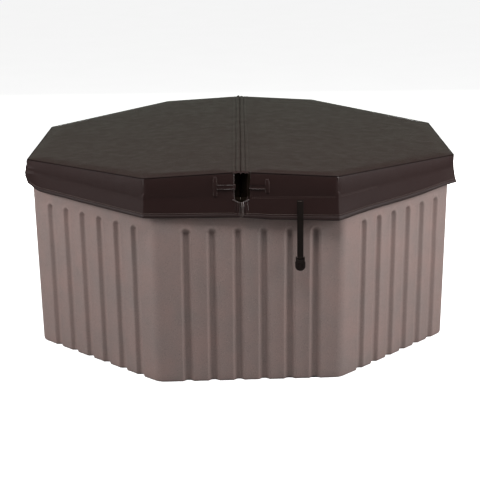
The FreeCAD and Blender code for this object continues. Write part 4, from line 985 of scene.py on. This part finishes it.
def cover_half(side):
    """One half's jacket with its welts, corner seams and seam stitching, for side +1 (right) or -1 (left)."""
    name = half_name(side)
    vertices, faces = half_cover_mesh(RIGHT_SEED if side > 0 else LEFT_SEED)
    jacket = mesh_object(name + "_cover", vertices, faces, VINYL)
    pin_seams(jacket)
    puff(jacket)
    parts = [jacket]

    # the welt cord is in the darker vinyl: painted shade along the top's edge
    welt, _ = edge_path(EDGE_ROUND * 0.80, lambda x: cover_top(x) - EDGE_ROUND * 0.24)
    parts.append(swept("welt", cord_rings(welt, 2.1 * MM), SEAM_SHADE_VINYL))
    if side > 0:
        # stitch rows in the light thread: partly thread colour, partly painted highlight on the seam at the
        # wall's foot
        for rise in (9 * MM, 4 * MM):
            base, base_out = edge_path(EDGE_ROUND + 1.6 * MM, lambda x: COVER_LOW + rise, last=2)
            reach = int(len(base) * 0.55)
            parts.append(stitch_run("base_stitches", base[:reach], base_out[:reach], THREAD_AND_HIGHLIGHT))
    parts += corner_seams(side)
    parts += fold_edges(side)
    made = joined(name + "_cover", parts)
    if side < 0:
        mirror(made)
    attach(made, "cover_" + name)
    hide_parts(name + "_jacket", name + "_liner")
    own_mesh(made)
    return made


def corner_seams(side):
    """Raised seams down the jacket's corners, a little uneven where the thread pulls."""
    made = []
    for n, (x, y) in enumerate(half_octagon(COVER_HALF, COVER_SIDE, FOLD)[1:-1]):
        ray = Vector((x, y, 0)).normalized()
        top = cover_top(x) - 3 * MM
        path = []
        for share in np.linspace(0, 1, 16):
            z = top + (COVER_LOW + 2 * MM - top) * share
            push = (-2.4 + 1.1 * wave((x, y, z), 0.022, 51 + n + side)) * MM
            push += corner_lump(x, y, z, side)
            path.append(Vector((x, y, z)) + ray * push)
        # the seam cords are in the lighter vinyl: painted highlight down the corners
        made.append(swept("corner_seam", cord_rings(path, 2.0 * MM, 8, up=(-ray.y, ray.x, 0)), HIGHLIGHT_VINYL))
    return made


GUSSET_LAP = {1: 11 * MM, -1: -2 * MM}     # how far the gusset's near-black sheet, painted shade of the gap, laps onto each half's end wall


def fold_piping(side, sign, lap):
    """Piping down the edge of the fold's end."""
    path = []
    top = cover_top(FOLD) + 0.5 * MM
    for share in np.linspace(0, 1, 22):
        z = top + (COVER_LOW - top) * share
        bow = 1.8 * MM * math.sin(math.pi * share) + 1.4 * MM * wave((0, sign, z), 0.03, 61 + side)
        proud = 1.2 * MM * max(0.0, min(1.0, lap / (6 * MM)))
        y = sign * (COVER_HALF - 1.5 * MM + proud - 4 * MM * (1 - share) ** 6)
        path.append((FOLD + lap + 0.5 * MM + bow, y, z))
    # the piping is in the lighter vinyl: painted highlight down the fold's edges
    return swept("fold_piping", cord_rings(path, 2.3 * MM, 10, up=(0, 1, 0)), HIGHLIGHT_VINYL)


def fold_gusset(side, sign, lap):
    """The crumpled sheet that runs from the piping into the gap between the halves, near black: painted shade
    of the gap.
    """
    rings = []
    for share in np.linspace(0, 1, 14):
        z = COVER_LOW - 3 * MM + (cover_top(FOLD) - 3 * MM - COVER_LOW) * share
        line = []
        for spread in np.linspace(1, 0, 5)[:-1] if lap > 6 * MM else ():
            out = (1.0 + 1.2 * math.sin(math.pi * spread)) * MM
            line.append((FOLD + lap * spread, sign * (COVER_HALF + out)))
        line.append((FOLD - 0.8 * MM, sign * (COVER_HALF - 3 * MM)))
        for inward in np.linspace(0, 1, 9):
            x = FOLD - 1 * MM - (FOLD - 1.8 * MM) * inward
            crumple = 9 * MM * wave((x * 1.2, sign, z), 0.035, 71 + 3 * side)
            y = sign * (COVER_HALF - 14 * MM - 24 * MM * inward + crumple * math.sin(math.pi * inward))
            line.append((x, y))
        front = [(x, y, z) for x, y in line]
        back = [(x, y - sign * 0.9 * MM, z) for x, y in line]
        rings.append(front + back[::-1])
    return swept("fold_gusset", rings, GAP_SHADE)


def fold_edges(side):
    """The fold's front and back ends: piping, a dark backing behind the gap and the gusset. The piping's
    lighter vinyl is painted highlight, and the backing's and gusset's near black is painted shade of the gap.
    """
    made = []
    lap = GUSSET_LAP[side]
    for sign in (-1, 1):
        made.append(fold_piping(side, sign, lap))
        # a near-black box behind the gap: painted shade where the gap's inside is dark
        backing = sorted_box((0.3 * MM, sign * (COVER_HALF - 4 * MM), COVER_LOW - 26 * MM),
                             (FOLD + 4 * MM, sign * (COVER_HALF - 1.4 * MM), COVER_LOW + 8 * MM))
        made.append(soft_box("fold_shade_backing", *backing, GAP_SHADE, 0.6 * MM, 2))
        made.append(fold_gusset(side, sign, lap))
    return made


# ---- skirt ---------------------------------------------------------------------------------------
HEM_STITCH = 0.745                 # the hem's stitching, as a share of the skirt's drop
HEM_FROM = 0.82                    # the hem's slightly darker vinyl, painted shade where it curls under, starts here
STITCH_LIFT = 1.9 * MM
SKIRT_ABOVE = [  # (height over the skirt's top, distance out) in mm: it rises flush out of the wall
    (30.0, -0.4), (22.0, 1.2), (14.0, 1.9), (7.0, 2.0), (0.0, 1.9),
]
SKIRT_PROFILE = [  # (share of the drop, mm out): down the outside, round the hem and up the inside
    (0.05, 1.9), (0.12, 1.9), (0.30, 1.8), (0.50, 1.8), (0.68, 1.8), (0.775, 1.6), (0.80, 0.7), (0.82, 2.2),
    (0.85, 3.1), (0.90, 3.4), (0.95, 3.1), (0.985, 2.0), (1.0, 0.4), (0.99, -1.2), (0.96, -2.0), (0.88, -2.0),
    (0.80, -1.2), (0.60, -1.0), (0.40, -1.0), (0.20, -1.0), (0.0, -1.2),
]


def skirt_line():
    """The half skirt's plan line, with its outward directions."""
    corners = half_octagon(COVER_HALF, COVER_SIDE, 1.5 * MM)
    soft = 24 * MM
    points, rays = [], []
    for k in range(5):
        edge = corners[k + 1] - corners[k]
        length = np.linalg.norm(edge)
        along = edge / length
        normal = np.array([along[1], -along[0]])
        for d in spaced(length, 8 * MM, (3 * MM, 8 * MM, 16 * MM)):
            turn = 0.0
            for other, away in ((-1, d), (1, length - d)):
                if away < soft and 0 <= k + other <= 4:
                    turn = SIDE_TURN / 2 * (1 - away / soft) * other
            ray = np.array([normal[0] * math.cos(turn) - normal[1] * math.sin(turn),
                            normal[0] * math.sin(turn) + normal[1] * math.cos(turn)])
            points.append(corners[k] + along * d)
            rays.append(ray)
    points.append(corners[5])
    rays.append(rays[-1])
    return np.array(points), np.array(rays)


def skirt_top(x):
    """The skirt's top line, which sags towards the middle of the fold."""
    return SKIRT_TOP - LIP_SAG * max(0.0, math.cos(math.pi / 2 * min(1.0, abs(x) / LIP_REACH))) ** 1.5


def skirt_hem(x, y, side):
    """The hem's height: nearly level on the left, and lowest by the front right corner."""
    low = SKIRT_LOW - 2 * MM + 1.5 * MM * wave((x, y, 0), 0.25, 29 + side)
    far_corner = from_far_corner(x, y)
    if side > 0:
        front = 1 / (1 + math.exp((y + 0.45) / 0.08))
        low -= front * (10 * MM * min(1.0, x / 0.12) + 6 * MM * bell(from_front_corner(x, y), 0.16))
        low -= (1 - front) * 6 * MM * bell(y, 0.6)
        return low + 12 * MM * bell(far_corner, 0.16)
    return low + 20 * MM * bell(far_corner, 0.045)


def hang_out(x, y, share, side):
    """How far out the cloth stands at a share of its drop: a flare, slow waves and the corners' shape."""
    drop = SKIRT_FLARE * share
    slow = 2.4 * MM * wave((x, y, 0), 0.33, 21 + side) * share ** 1.5
    quick = 0.9 * MM * wave((x, y, share * 0.05), 0.09, 25 + side) * share
    corner = 1.0 * MM * bell(corner_distance(x, y), 0.05)
    front_corner = bell(from_front_corner(x, y), 0.09)
    far_corner = bell(from_far_corner(x, y), 0.07)
    lean = 5.0 * MM * front_corner + 5.0 * MM * far_corner if side > 0 else -9 * MM * far_corner
    lump = corner_lump(x, y, SKIRT_TOP + (SKIRT_LOW - SKIRT_TOP) * share, side)
    return drop + slow + quick + (corner + lean) * share ** 2 + lump


def skirt_ring(x, y, ray, side):
    """One section of the skirt, as points on its closed outline."""
    top, low = skirt_top(x), skirt_hem(x, y, side)
    near_fold = min(1.0, max(0.0, (abs(x) - 20 * MM) / (12 * MM))) if abs(y) > COVER_SIDE else 1.0
    ring = []
    for rise, out in SKIRT_ABOVE:
        reach = (out - 3.0 * (1 - near_fold) * min(1.0, rise / 4)) * MM
        reach += corner_lump(x, y, top + rise * MM, side)
        ring.append((x + ray[0] * reach, y + ray[1] * reach, top + rise * near_fold * MM))
    for share, out in SKIRT_PROFILE:
        reach = hang_out(x, y, share, side) + out * MM
        ring.append((x + ray[0] * reach, y + ray[1] * reach, top + (low - top) * share))
    ring.append((x - ray[0] * 1.6 * MM, y - ray[1] * 1.6 * MM, top + 26 * near_fold * MM))
    return ring


def bind_hem(skirt, ring_size):
    """Gives the rolled hem a slightly darker vinyl: painted shade where the hem curls under."""
    skirt.data.materials.append(HEM_SHADE_VINYL)
    shares = [0.0] * len(SKIRT_ABOVE) + [share for share, _ in SKIRT_PROFILE] + [0.0]
    for face in skirt.data.polygons:
        around = [v % ring_size for v in face.vertices]
        if len(around) == 4 and min(shares[k] for k in around) >= HEM_FROM:
            face.material_index = 1


def build_skirt(side):
    name = half_name(side)
    points, rays = skirt_line()
    rings = [skirt_ring(x, y, ray, side) for (x, y), ray in zip(points, rays)]
    skirt = swept(name + "_skirt_flap", rings, VINYL)
    bind_hem(skirt, len(rings[0]))

    path, outs = [], []
    for (x, y), ray in zip(points, rays):
        top, low = skirt_top(x), skirt_hem(x, y, side)
        reach = hang_out(x, y, HEM_STITCH, side) + STITCH_LIFT
        path.append((x + ray[0] * reach, y + ray[1] * reach, top + (low - top) * HEM_STITCH))
        outs.append((ray[0], ray[1], 0))
    # hem stitching in the light thread, which also paints the highlight along the hem's top
    parts = [stitch_run(name + "_hem_stitches", path, outs, THREAD_AND_HIGHLIGHT, 6.4 * MM, 5 * MM, 0.85 * MM)]
    # the lips below the fold are cords of the lighter vinyl: painted highlight on the rolled edge
    lip = [r[len(SKIRT_ABOVE) - 1] for r in rings]
    for sign in (-1, 1):
        end = [p for p, (x, y) in zip(lip, points) if abs(x) < LIP_REACH and y * sign > COVER_SIDE]
        lifted = [(x, y + math.copysign(0.6 * MM, y), z) for x, y, z in end]
        parts.append(swept("lip", cord_rings(lifted, 2.6 * MM, 8), HIGHLIGHT_VINYL))
    trim = joined(name + "_skirt_trim", parts)
    for made in (skirt, trim):
        if side < 0:
            mirror(made)
        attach(made, "cover_" + half_name(side))
    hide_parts(name + "_skirt")


# pleats in the lighter vinyl carry painted highlights, the right one's short knot most of all; the rest are
# plain vinyl
PLEATS = {  # for each half: mm from the fold, radius in mm, lean at the hem, bulge, share of the drop, cloth
    1: (
        (6.5, 7.2, 0.0, 1.5, 0.30, HIGHLIGHT_VINYL),
        (8.0, 5.2, -1.5, 1.3, 1.0, HIGHLIGHT_VINYL),
        (17.0, 3.4, 3.0, 0.9, 1.0, VINYL),
        (24.0, 2.0, 9.0, 0.6, 0.9, HIGHLIGHT_VINYL),
    ),
    -1: (
        (4.5, 2.6, 0.5, 0.9, 1.0, HIGHLIGHT_VINYL),
        (12.0, 4.2, 1.5, 0.9, 1.0, VINYL),
        (20.0, 2.8, 4.0, 0.6, 1.0, VINYL),
    ),
}


def fold_pleats():
    """The gathered ends of the skirts below the fold, front and back: rolled vertical folds."""
    for side in (1, -1):
        name = half_name(side)
        parts = []
        for sign in (-1, 1):
            for x, radius, lean, gauge, reach, material in PLEATS[side]:
                path = []
                top = skirt_top(x * MM) + 1.0 * MM
                low = skirt_hem(x * MM, sign * COVER_HALF, side) + 1.5 * MM
                for share in np.linspace(0, reach, 12):
                    bulge = 2.6 * math.sin(math.pi * min(1, share * 1.3)) * gauge
                    out = hang_out(x * MM, sign * COVER_HALF, share, side) + (bulge - 1.5 * share) * MM
                    wobble = 0.7 * wave((x, sign, share * 0.06), 0.02, 81 + side)
                    spot = x + lean * share + wobble * share * (x > 6)
                    path.append((side * spot * MM, sign * (COVER_HALF + out), top + (low - top) * share))
                parts.append(swept("pleat", cord_rings(path, radius * MM, 12, up=(0, 1, 0)), material))
        made = joined(name + "_fold_pleats", parts)
        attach(made, "cover_" + half_name(side))


# ---- hinge strip, handles ------------------------------------------------------------------------
STRIP_SEAM = 19 * MM               # how far each row of stitching is from the fold's middle


def strip_drift(y):
    """How far the band across the fold wanders to one side."""
    return 1.2 * MM * wave((0, y, 0), 0.3, 33)


def strip_height(x, y):
    """The band's height: raised at its edges, pressed down at the seams and the crease."""
    base = COVER_TOP - COVER_FALL * max(abs(x), FOLD) + 1.8 * MM
    base -= 1.6 * MM * max(0.0, (abs(x) - 26 * MM) / (7 * MM))
    seam = 2.6 * MM * bell(abs(x) - STRIP_SEAM, 1.9 * MM)
    crease = 4.5 * MM * bell(x, 2.4 * MM)
    crown = 1.9 * MM * bell(abs(x) - 9 * MM, 6 * MM)
    ripple = 0.5 * MM * wave((x * 3, y, 0), 0.07, 31)
    bump = 5.5 * MM * bell(y - COVER_HALF + 14 * MM, 9 * MM) * bell(x + 5 * MM, 9 * MM)
    return base + crown - seam - crease + ripple + bump


def hinge_strip():
    """The doubled vinyl band that joins the two halves over the fold, with two rows of stitching."""
    half_width, thick = 33 * MM, 1.6 * MM
    wing = np.concatenate([np.linspace(3.5 * MM, 14 * MM, 6), np.linspace(16 * MM, 22 * MM, 7),
                           np.linspace(24 * MM, half_width, 5)])
    across = np.concatenate([-wing[::-1], [-2 * MM, -1 * MM, 0, 1 * MM, 2 * MM], wing])
    ys = np.linspace(-COVER_HALF - 1 * MM, COVER_HALF + 1 * MM, 200)
    rings = []
    for y in ys:
        drift = strip_drift(y)
        over_edge = max(0.0, abs(y) - COVER_HALF + 7 * MM)
        top = [(x + drift, y, strip_height(x, y) - over_edge * 0.6) for x in across]
        low = [(x + drift, y, strip_height(x, y) - thick - over_edge * 0.6) for x in across[::-1]]
        rings.append(top + low)
    parts = [swept("hinge_band", rings, VINYL)]
    # the band's stitch rows are in the darker vinyl: painted shade along its pressed seams
    for x in (-STRIP_SEAM, STRIP_SEAM):
        path = [(x + strip_drift(y), y, strip_height(x, y) + 0.3 * MM) for y in ys[2:-2]]
        parts.append(stitch_run("strip_stitches", path, [(0, 0, 1)] * len(path), SEAM_SHADE_VINYL))
    made = joined("hinge_band", parts)
    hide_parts("hinge_strip")
    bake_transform(made)
    return made


BAND_SECTION = [  # (share of the half height, mm thick): up its outside, then down its inside
    (-1, 0.5), (-0.94, 1.5), (-0.8, 1.6), (-0.6, 1.0), (0, 0.8),
    (0.6, 1.0), (0.8, 1.6), (0.94, 1.5), (1, 0.5),
    (1, -0.5), (0.8, -1.0), (0, -1.0), (-0.8, -1.0), (-1, -0.5),
]


def handle_band(side, sign, y0, middle_z, tilt):
    """The doubled band, whose inner end wraps into the gap between the halves."""
    tall = 8.5 * MM if side < 0 else 7.5 * MM
    edge_x = FOLD + max(0.0, GUSSET_LAP[side])
    inner = [(edge_x - 6 * MM, -9), (edge_x - 4.5 * MM, -3), (edge_x - 1 * MM, 1.5), (edge_x + 5 * MM, 3.2)]
    outer = [(FOLD + 58 * MM, 3.2), (FOLD + 66 * MM, 1.4), (FOLD + 72 * MM, -0.6), (FOLD + 78 * MM, -1.2)]
    path = []
    for x, out in inner + [(FOLD + 22 * MM, 4.4), (FOLD + 40 * MM, 4.8)] + outer:
        path.append((side * x, y0 + sign * out * MM, middle_z + tilt * (x - FOLD) / (80 * MM)))
    rings = []
    for i, p in enumerate(path):
        here = Vector(p)
        after, before = path[min(i + 1, len(path) - 1)], path[max(i - 1, 0)]
        along = (Vector(after) - Vector(before)).normalized()
        across = along.cross(Vector((0, 0, 1))).normalized()
        rings.append([here + across * thick * MM + Vector((0, 0, z * tall)) for z, thick in BAND_SECTION])
    parts = [swept("band", rings, VINYL)]
    # the band's edge cords: lighter vinyl as painted highlight along the lower edge and the left top, darker
    # vinyl as painted shade along the right top
    high_cord, high_cloth = (1.5 * MM, HIGHLIGHT_VINYL) if side < 0 else (0.8 * MM, SEAM_SHADE_VINYL)
    for z, cord, cloth in ((-0.94, 1.5 * MM, HIGHLIGHT_VINYL), (0.94, high_cord, high_cloth)):
        edge = [(x, y + sign * 1.5 * MM, height + z * tall) for x, y, height in path[1:]]
        parts.append(swept("band_edge", cord_rings(edge, cord, 8), cloth))
    return parts


def handle_tab(side, sign, y0, middle_z, tilt):
    """The sewn tab over the band's outer end."""
    tab_x = FOLD + (74 if side < 0 else 78) * MM
    reach = 41 * MM if side < 0 else 30 * MM
    tab_low, tab_high = middle_z - reach, middle_z + reach
    rings = []
    for share in np.linspace(0, 1, 13):
        z = tab_low + (tab_high - tab_low) * share
        bulge = math.sin(math.pi * share) ** 0.7
        lift = (1.2 + 3.4 * bulge) * MM
        width = (8.5 + 2.0 * math.cos(math.pi * (share - 0.5) * 2)) * MM
        ring = []
        for k in range(12):
            a = 2 * math.pi * k / 12
            x = side * (tab_x + math.cos(a) * width + side * tilt * (share - 0.5))
            y = y0 + sign * (lift * max(0, math.sin(a)) - 1.5 * MM * max(0, -math.sin(a)))
            ring.append((x, y, z))
        rings.append(ring)
    parts = [swept("tab", rings, VINYL)]
    for dx in (-7.2, 7.2):
        x, y = side * (tab_x + dx * MM), y0 + sign * 1.6 * MM
        line = [(x, y, tab_low + 6 * MM + s * (tab_high - tab_low - 12 * MM)) for s in np.linspace(0, 1, 8)]
        parts.append(stitch_run("tab_stitches", line, [(0, sign, 0)] * len(line), THREAD_AND_HIGHLIGHT, 5 * MM, 3.4 * MM))
    return parts


def handle(side, sign):
    """A carrying handle beside the fold, at the front (sign -1) or the back (+1)."""
    y0 = sign * (COVER_HALF + 2.2 * MM)
    middle_z = (COVER_TOP + COVER_LOW) / 2 - 4 * MM
    tilt = 0.0 if side < 0 else -3.0 * MM
    return handle_band(side, sign, y0, middle_z, tilt) + handle_tab(side, sign, y0, middle_z, tilt)


def build_handles():
    for side in (1, -1):
        name = half_name(side)
        parts = handle(side, -1) + handle(side, 1)
        made = joined(name + "_fold_handles", parts)
        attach(made, "cover_" + half_name(side))
        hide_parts(name + "_handles")


# ---- straps --------------------------------------------------------------------------------------
STRAP_LINE = (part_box("front_buckle")[0].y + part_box("front_buckle")[1].y) / 2
LEFT_STRAP_SHIFT = Vector(((-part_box("left_strap")[0].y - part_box("left_strap")[1].y) / 2 - STRAP_X, 0, 0))
STRAP_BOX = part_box("front_strap")
BUCKLE_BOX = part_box("front_buckle")
BAR_Z = STRAP_BOX[0].z + 3.9 * MM    # the height of the buckle's bar
BUCKLE_HALF_THICK = 4.3 * MM
WEBBING_SECTION = [  # (share of the half width, share of the half thickness)
    (-1, 0.4), (-0.94, 1), (-0.5, 1), (0, 1), (0.5, 1), (0.94, 1), (1, 0.4),
    (1, -0.4), (0.94, -1), (0.5, -1), (0, -1), (-0.5, -1), (-0.94, -1), (-1, -0.4),
]


def turned(made, name, turn, body, node):
    """Carries a piece made at the front of the tub round to its own side."""
    if body.endswith("left"):
        made.data.transform(Matrix.Translation(LEFT_STRAP_SHIFT))
    made.data.transform(Matrix.Rotation(turn, 4, "Z"))
    made.name = name
    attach(made, body)
    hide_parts(node)


def strap_piece(seed):
    """Webbing sewn at the cover's seam, lying over the skirt and looped round the buckle's bar."""
    top_z = STRAP_BOX[1].z
    line = STRAP_LINE
    path = [(top_z, COVER_HALF + 2.6 * MM), (top_z - 8 * MM, COVER_HALF + 3.6 * MM),
            (top_z - 30 * MM, COVER_HALF + 6 * MM), (SKIRT_LOW + 10 * MM, -line + 0.2 * MM),
            (SKIRT_LOW - 8 * MM, -line + 0.6 * MM)]
    for share in np.linspace(0.05, 0.95, 16):
        z = SKIRT_LOW - 8 * MM + (BAR_Z + 10 * MM - SKIRT_LOW + 8 * MM) * share
        path.append((z, -line + 0.8 * MM * wave((0, 0, z), 0.06, seed)))
    path += [(BAR_Z + 8 * MM, -line), (BAR_Z + 4 * MM, -line + 2.6 * MM), (BAR_Z, -line + 3.0 * MM),
             (BAR_Z - 3 * MM, -line + 1.6 * MM), (BAR_Z - 3.2 * MM, -line)]
    rings = []
    half, thick = STRAP_HALF, 0.75 * MM
    for i, (z, out) in enumerate(path):
        before, after = path[max(i - 1, 0)], path[min(i + 1, len(path) - 1)]
        dz, dout = after[0] - before[0], after[1] - before[1]
        size = math.hypot(dz, dout)
        nz, nout = -dout / size, dz / size
        rings.append([(STRAP_X + x * half, -(out - nout * t * thick), z - nz * t * thick)
                      for x, t in WEBBING_SECTION])
    parts = [swept("webbing", rings, WEBBING)]
    hem_z = SKIRT_TOP + (skirt_hem(STRAP_X, -COVER_HALF, 1) - SKIRT_TOP) * HEM_STITCH
    # the two tack rows at the hem make a light bar: thread, and painted highlight where the hem's highlight
    # crosses the strap
    for z, lift in ((top_z - 5 * MM, 3.9), (top_z - 24 * MM, 5.0), (hem_z, 8.6), (hem_z - 1 * MM, 8.6)):
        out = COVER_HALF + lift * MM
        line_points = [(STRAP_X + s * half * 0.8, -out, z) for s in np.linspace(-1, 1, 5)]
        parts.append(stitch_run("tack", line_points, [(0, -1, 0)] * 5, THREAD_AND_HIGHLIGHT, 4.2 * MM, 3.2 * MM, 0.7 * MM))
    return joined("strap_webbing", parts)


BUCKLE_ARM = STRAP_HALF + 1 * MM       # from the buckle's middle to the inside of each arm


def buckle_plate():
    """The plate with its two arms, before its slots are cut."""
    low, high = BUCKLE_BOX[0].z, BUCKLE_BOX[1].z
    half = (BUCKLE_BOX[1].x - BUCKLE_BOX[0].x) / 2
    arm = BUCKLE_ARM
    right = []
    for a in np.linspace(-math.pi / 2, 0, 9):
        right.append((half * math.cos(a), low + half + half * math.sin(a)))
    right += [(half, BAR_Z - 14 * MM), (half - 3 * MM, BAR_Z - 9 * MM), (arm + 4.6 * MM, BAR_Z - 4 * MM),
              (arm + 4.6 * MM, high - 2 * MM), (arm + 3.4 * MM, high), (arm + 0.8 * MM, high),
              (arm, high - 1.2 * MM), (arm, BAR_Z - 3.6 * MM), (arm - 1 * MM, BAR_Z - 4.6 * MM),
              (0, BAR_Z - 4.8 * MM)]
    left = [(-x, z) for x, z in reversed(right) if x > 1e-6]
    middle_z = (low + high) / 2
    rings = []
    for depth, shrink in ((-1, 0.955), (-0.86, 1.0), (0.86, 1.0), (1, 0.955)):
        y = STRAP_LINE + depth * BUCKLE_HALF_THICK
        rings.append([(STRAP_X + x * shrink, y, middle_z + (z - middle_z) * shrink) for x, z in right + left])
    return swept("buckle_plate", rings, BUCKLE, smooth=False)


def slotted(body):
    """Cuts two slots in each face of the plate, and rounds its edges."""
    y, thick, floor, past = STRAP_LINE, BUCKLE_HALF_THICK, 2.2 * MM, 20 * MM
    slot_low, slot_high = BUCKLE_BOX[0].z + 9 * MM, BAR_Z - 20 * MM
    cutters = []
    for sign in (-1, 1):
        x0, x1 = sorted((STRAP_X + sign * 6.2 * MM, STRAP_X + sign * 8.8 * MM))
        for y0, y1 in ((y - past, y - thick + floor), (y + thick - floor, y + past)):
            cutters.append(soft_box("slot", (x0, y0, slot_low), (x1, y1, slot_high), BUCKLE, 0.9 * MM))
    for cutter in cutters:
        cut = body.modifiers.new("slot", "BOOLEAN")
        cut.operation = "DIFFERENCE"
        cut.solver = "EXACT"
        cut.object = cutter
    bevel = body.modifiers.new("edges", "BEVEL")
    bevel.width = 0.7 * MM
    bevel.segments = 2
    bevel.limit_method = "ANGLE"
    apply_modifiers(body)
    for cutter in cutters:
        bpy.data.objects.remove(cutter)
    return body


def buckle_piece():
    """The plug half of a side-release buckle: a slotted round plate with side arms, a bar and ribs."""
    y, thick = STRAP_LINE, BUCKLE_HALF_THICK
    body = slotted(buckle_plate())
    bar_path = [(STRAP_X + s * (BUCKLE_ARM + 1 * MM), y, BAR_Z) for s in (-1, -0.5, 0, 0.5, 1)]
    bar = swept("bar", cord_rings(bar_path, 2.1 * MM, 12), BUCKLE)
    ribs = []
    for k in range(3):
        rib_low = (STRAP_X - 12 * MM, y - thick - 0.7 * MM, BAR_Z - (13 + 2.4 * k) * MM)
        rib_high = (STRAP_X + 12 * MM, y - thick + 0.5 * MM, BAR_Z - (11.8 + 2.4 * k) * MM)
        ribs.append(soft_box("rib", rib_low, rib_high, BUCKLE, 0.4 * MM, 2))
    return joined("buckle", [body, bar, *ribs])


def build_straps():
    for turn, name in enumerate(("front", "right", "back", "left")):
        angle = turn * math.pi / 2
        strap, buckle = name + "_strap", name + "_buckle"
        turned(strap_piece(41 + turn), strap + "_webbing", angle, "strap_" + name, strap)
        turned(buckle_piece(), strap + "_buckle", angle, "buckle_" + name, buckle)


# ---- stage ---------------------------------------------------------------------------------------
def build_stage():
    """A white floor. Only the camera sees it fully white, so that it doesn't light the tub from below."""
    surface = Surface("floor_paint", (0.9, 0.9, 0.9), 0.9)
    path = surface.node("ShaderNodeLightPath").outputs["Is Camera Ray"]
    cloud = surface.ramp(surface.noise(2, 2), 0.3, 0.7)
    surface.paint(surface.mix(path, (0.30, 0.30, 0.30), (0.90, 0.90, 0.90)))
    surface.shader.inputs["Emission Color"].default_value = (1, 1, 1, 1)
    glow = surface.math("MULTIPLY", path, surface.ramp(cloud, 0, 1, 0.84, 0.85))
    surface.link(glow, surface.shader.inputs["Emission Strength"])
    reach = 40
    corners = [(-reach, -reach, 0), (reach, -reach, 0), (reach, reach, 0), (-reach, reach, 0)]
    floor = mesh_object("floor", corners, [(0, 1, 2, 3)], surface.material, False)


def area_light(name, place, aim, size, power, color=(1, 1, 1)):
    data = bpy.data.lights.new(name, "AREA")
    data.shape = "RECTANGLE"
    data.size, data.size_y = size
    data.energy = power
    data.color = color
    lamp = bpy.data.objects.new(name, data)
    bpy.context.scene.collection.objects.link(lamp)
    lamp.location = place
    lamp.visible_camera = False
    lamp.rotation_euler = (Vector(aim) - Vector(place)).to_track_quat("-Z", "Y").to_euler()


WORLD_LIGHT = 0.07                 # the room's own light on the tub
WORLD_MIRROR = 0.5                 # how much of it a glossy surface shows
WORLD_SEEN = 1.1                   # how bright the room is to the camera itself


def build_lights():
    middle = (0, -0.3, 0.4)
    area_light("right_softbox", (3.05, -1.4, 1.75), middle, (1.7, 1.6), 80)
    area_light("left_softbox", (-3.05, -1.4, 1.75), middle, (1.7, 1.6), 60)
    area_light("front_fill", (0.0, -2.3, 3.9), middle, (3.0, 1.2), 92)
    area_light("top_softbox", (0, 0.6, 4.2), (0, 0, 0.4), (3.2, 2.6), 31, (0.95, 1.0, 0.92))
    area_light("back_panel", (0, 6.5, 1.7), (0, 0, 0.9), (9.0, 2.6), 42, (0.88, 1.0, 0.84))
    for x in (-1.9, 1.9):
        area_light("low_back_softbox", (x, 3.2, 0.52), (0, 0, 0.45), (1.8, 0.4), 40)
    world = bpy.data.worlds.new("studio")
    bpy.context.scene.world = world
    world.use_nodes = True
    tree = world.node_tree
    background = tree.nodes["Background"]
    background.inputs["Color"].default_value = (1, 1, 1, 1)
    path = tree.nodes.new("ShaderNodeLightPath")
    seen = tree.nodes.new("ShaderNodeMapRange")
    seen.inputs["To Min"].default_value = WORLD_LIGHT
    seen.inputs["To Max"].default_value = WORLD_SEEN
    mirror = tree.nodes.new("ShaderNodeMapRange")
    mirror.inputs["To Min"].default_value = 1.0
    mirror.inputs["To Max"].default_value = WORLD_MIRROR
    strength = tree.nodes.new("ShaderNodeMath")
    strength.operation = "MULTIPLY"
    tree.links.new(path.outputs["Is Camera Ray"], seen.inputs["Value"])
    tree.links.new(path.outputs["Is Glossy Ray"], mirror.inputs["Value"])
    tree.links.new(seen.outputs["Result"], strength.inputs[0])
    tree.links.new(mirror.outputs["Result"], strength.inputs[1])
    tree.links.new(strength.outputs["Value"], background.inputs["Strength"])


CAMERA_ELEVATION = math.radians(15.4)
CAMERA_DISTANCE = 6.04
CAMERA_TARGET = Vector((0, 0, 0.371))
CAMERA_ROLL = math.radians(-0.64)
CAMERA_SHIFT = (-0.0027, -0.0085)
FOCAL_LENGTH, SENSOR = 95.9, 36.0


def build_camera():
    data = bpy.data.cameras.new("camera")
    camera = bpy.data.objects.new("camera", data)
    bpy.context.scene.collection.objects.link(camera)
    bpy.context.scene.camera = camera
    data.sensor_width = SENSOR
    data.lens = FOCAL_LENGTH
    data.shift_x, data.shift_y = CAMERA_SHIFT
    back = Vector((0, -math.cos(CAMERA_ELEVATION), math.sin(CAMERA_ELEVATION)))
    camera.location = CAMERA_TARGET + back * CAMERA_DISTANCE
    look = (-back).to_track_quat("-Z", "Y").to_matrix().to_4x4()
    roll = Matrix.Rotation(CAMERA_ROLL, 4, "Z")
    camera.rotation_euler = (look @ roll).to_euler()
    bpy.context.scene.view_settings.view_transform = "Standard"


# ---- the whole model -----------------------------------------------------------------------------
build_camera()
build_lights()
build_stage()
paint_cad_nodes()
build_cabinet()
cover_half(1)
cover_half(-1)
build_skirt(1)
build_skirt(-1)
fold_pleats()
hinge_strip()
build_handles()
build_straps()
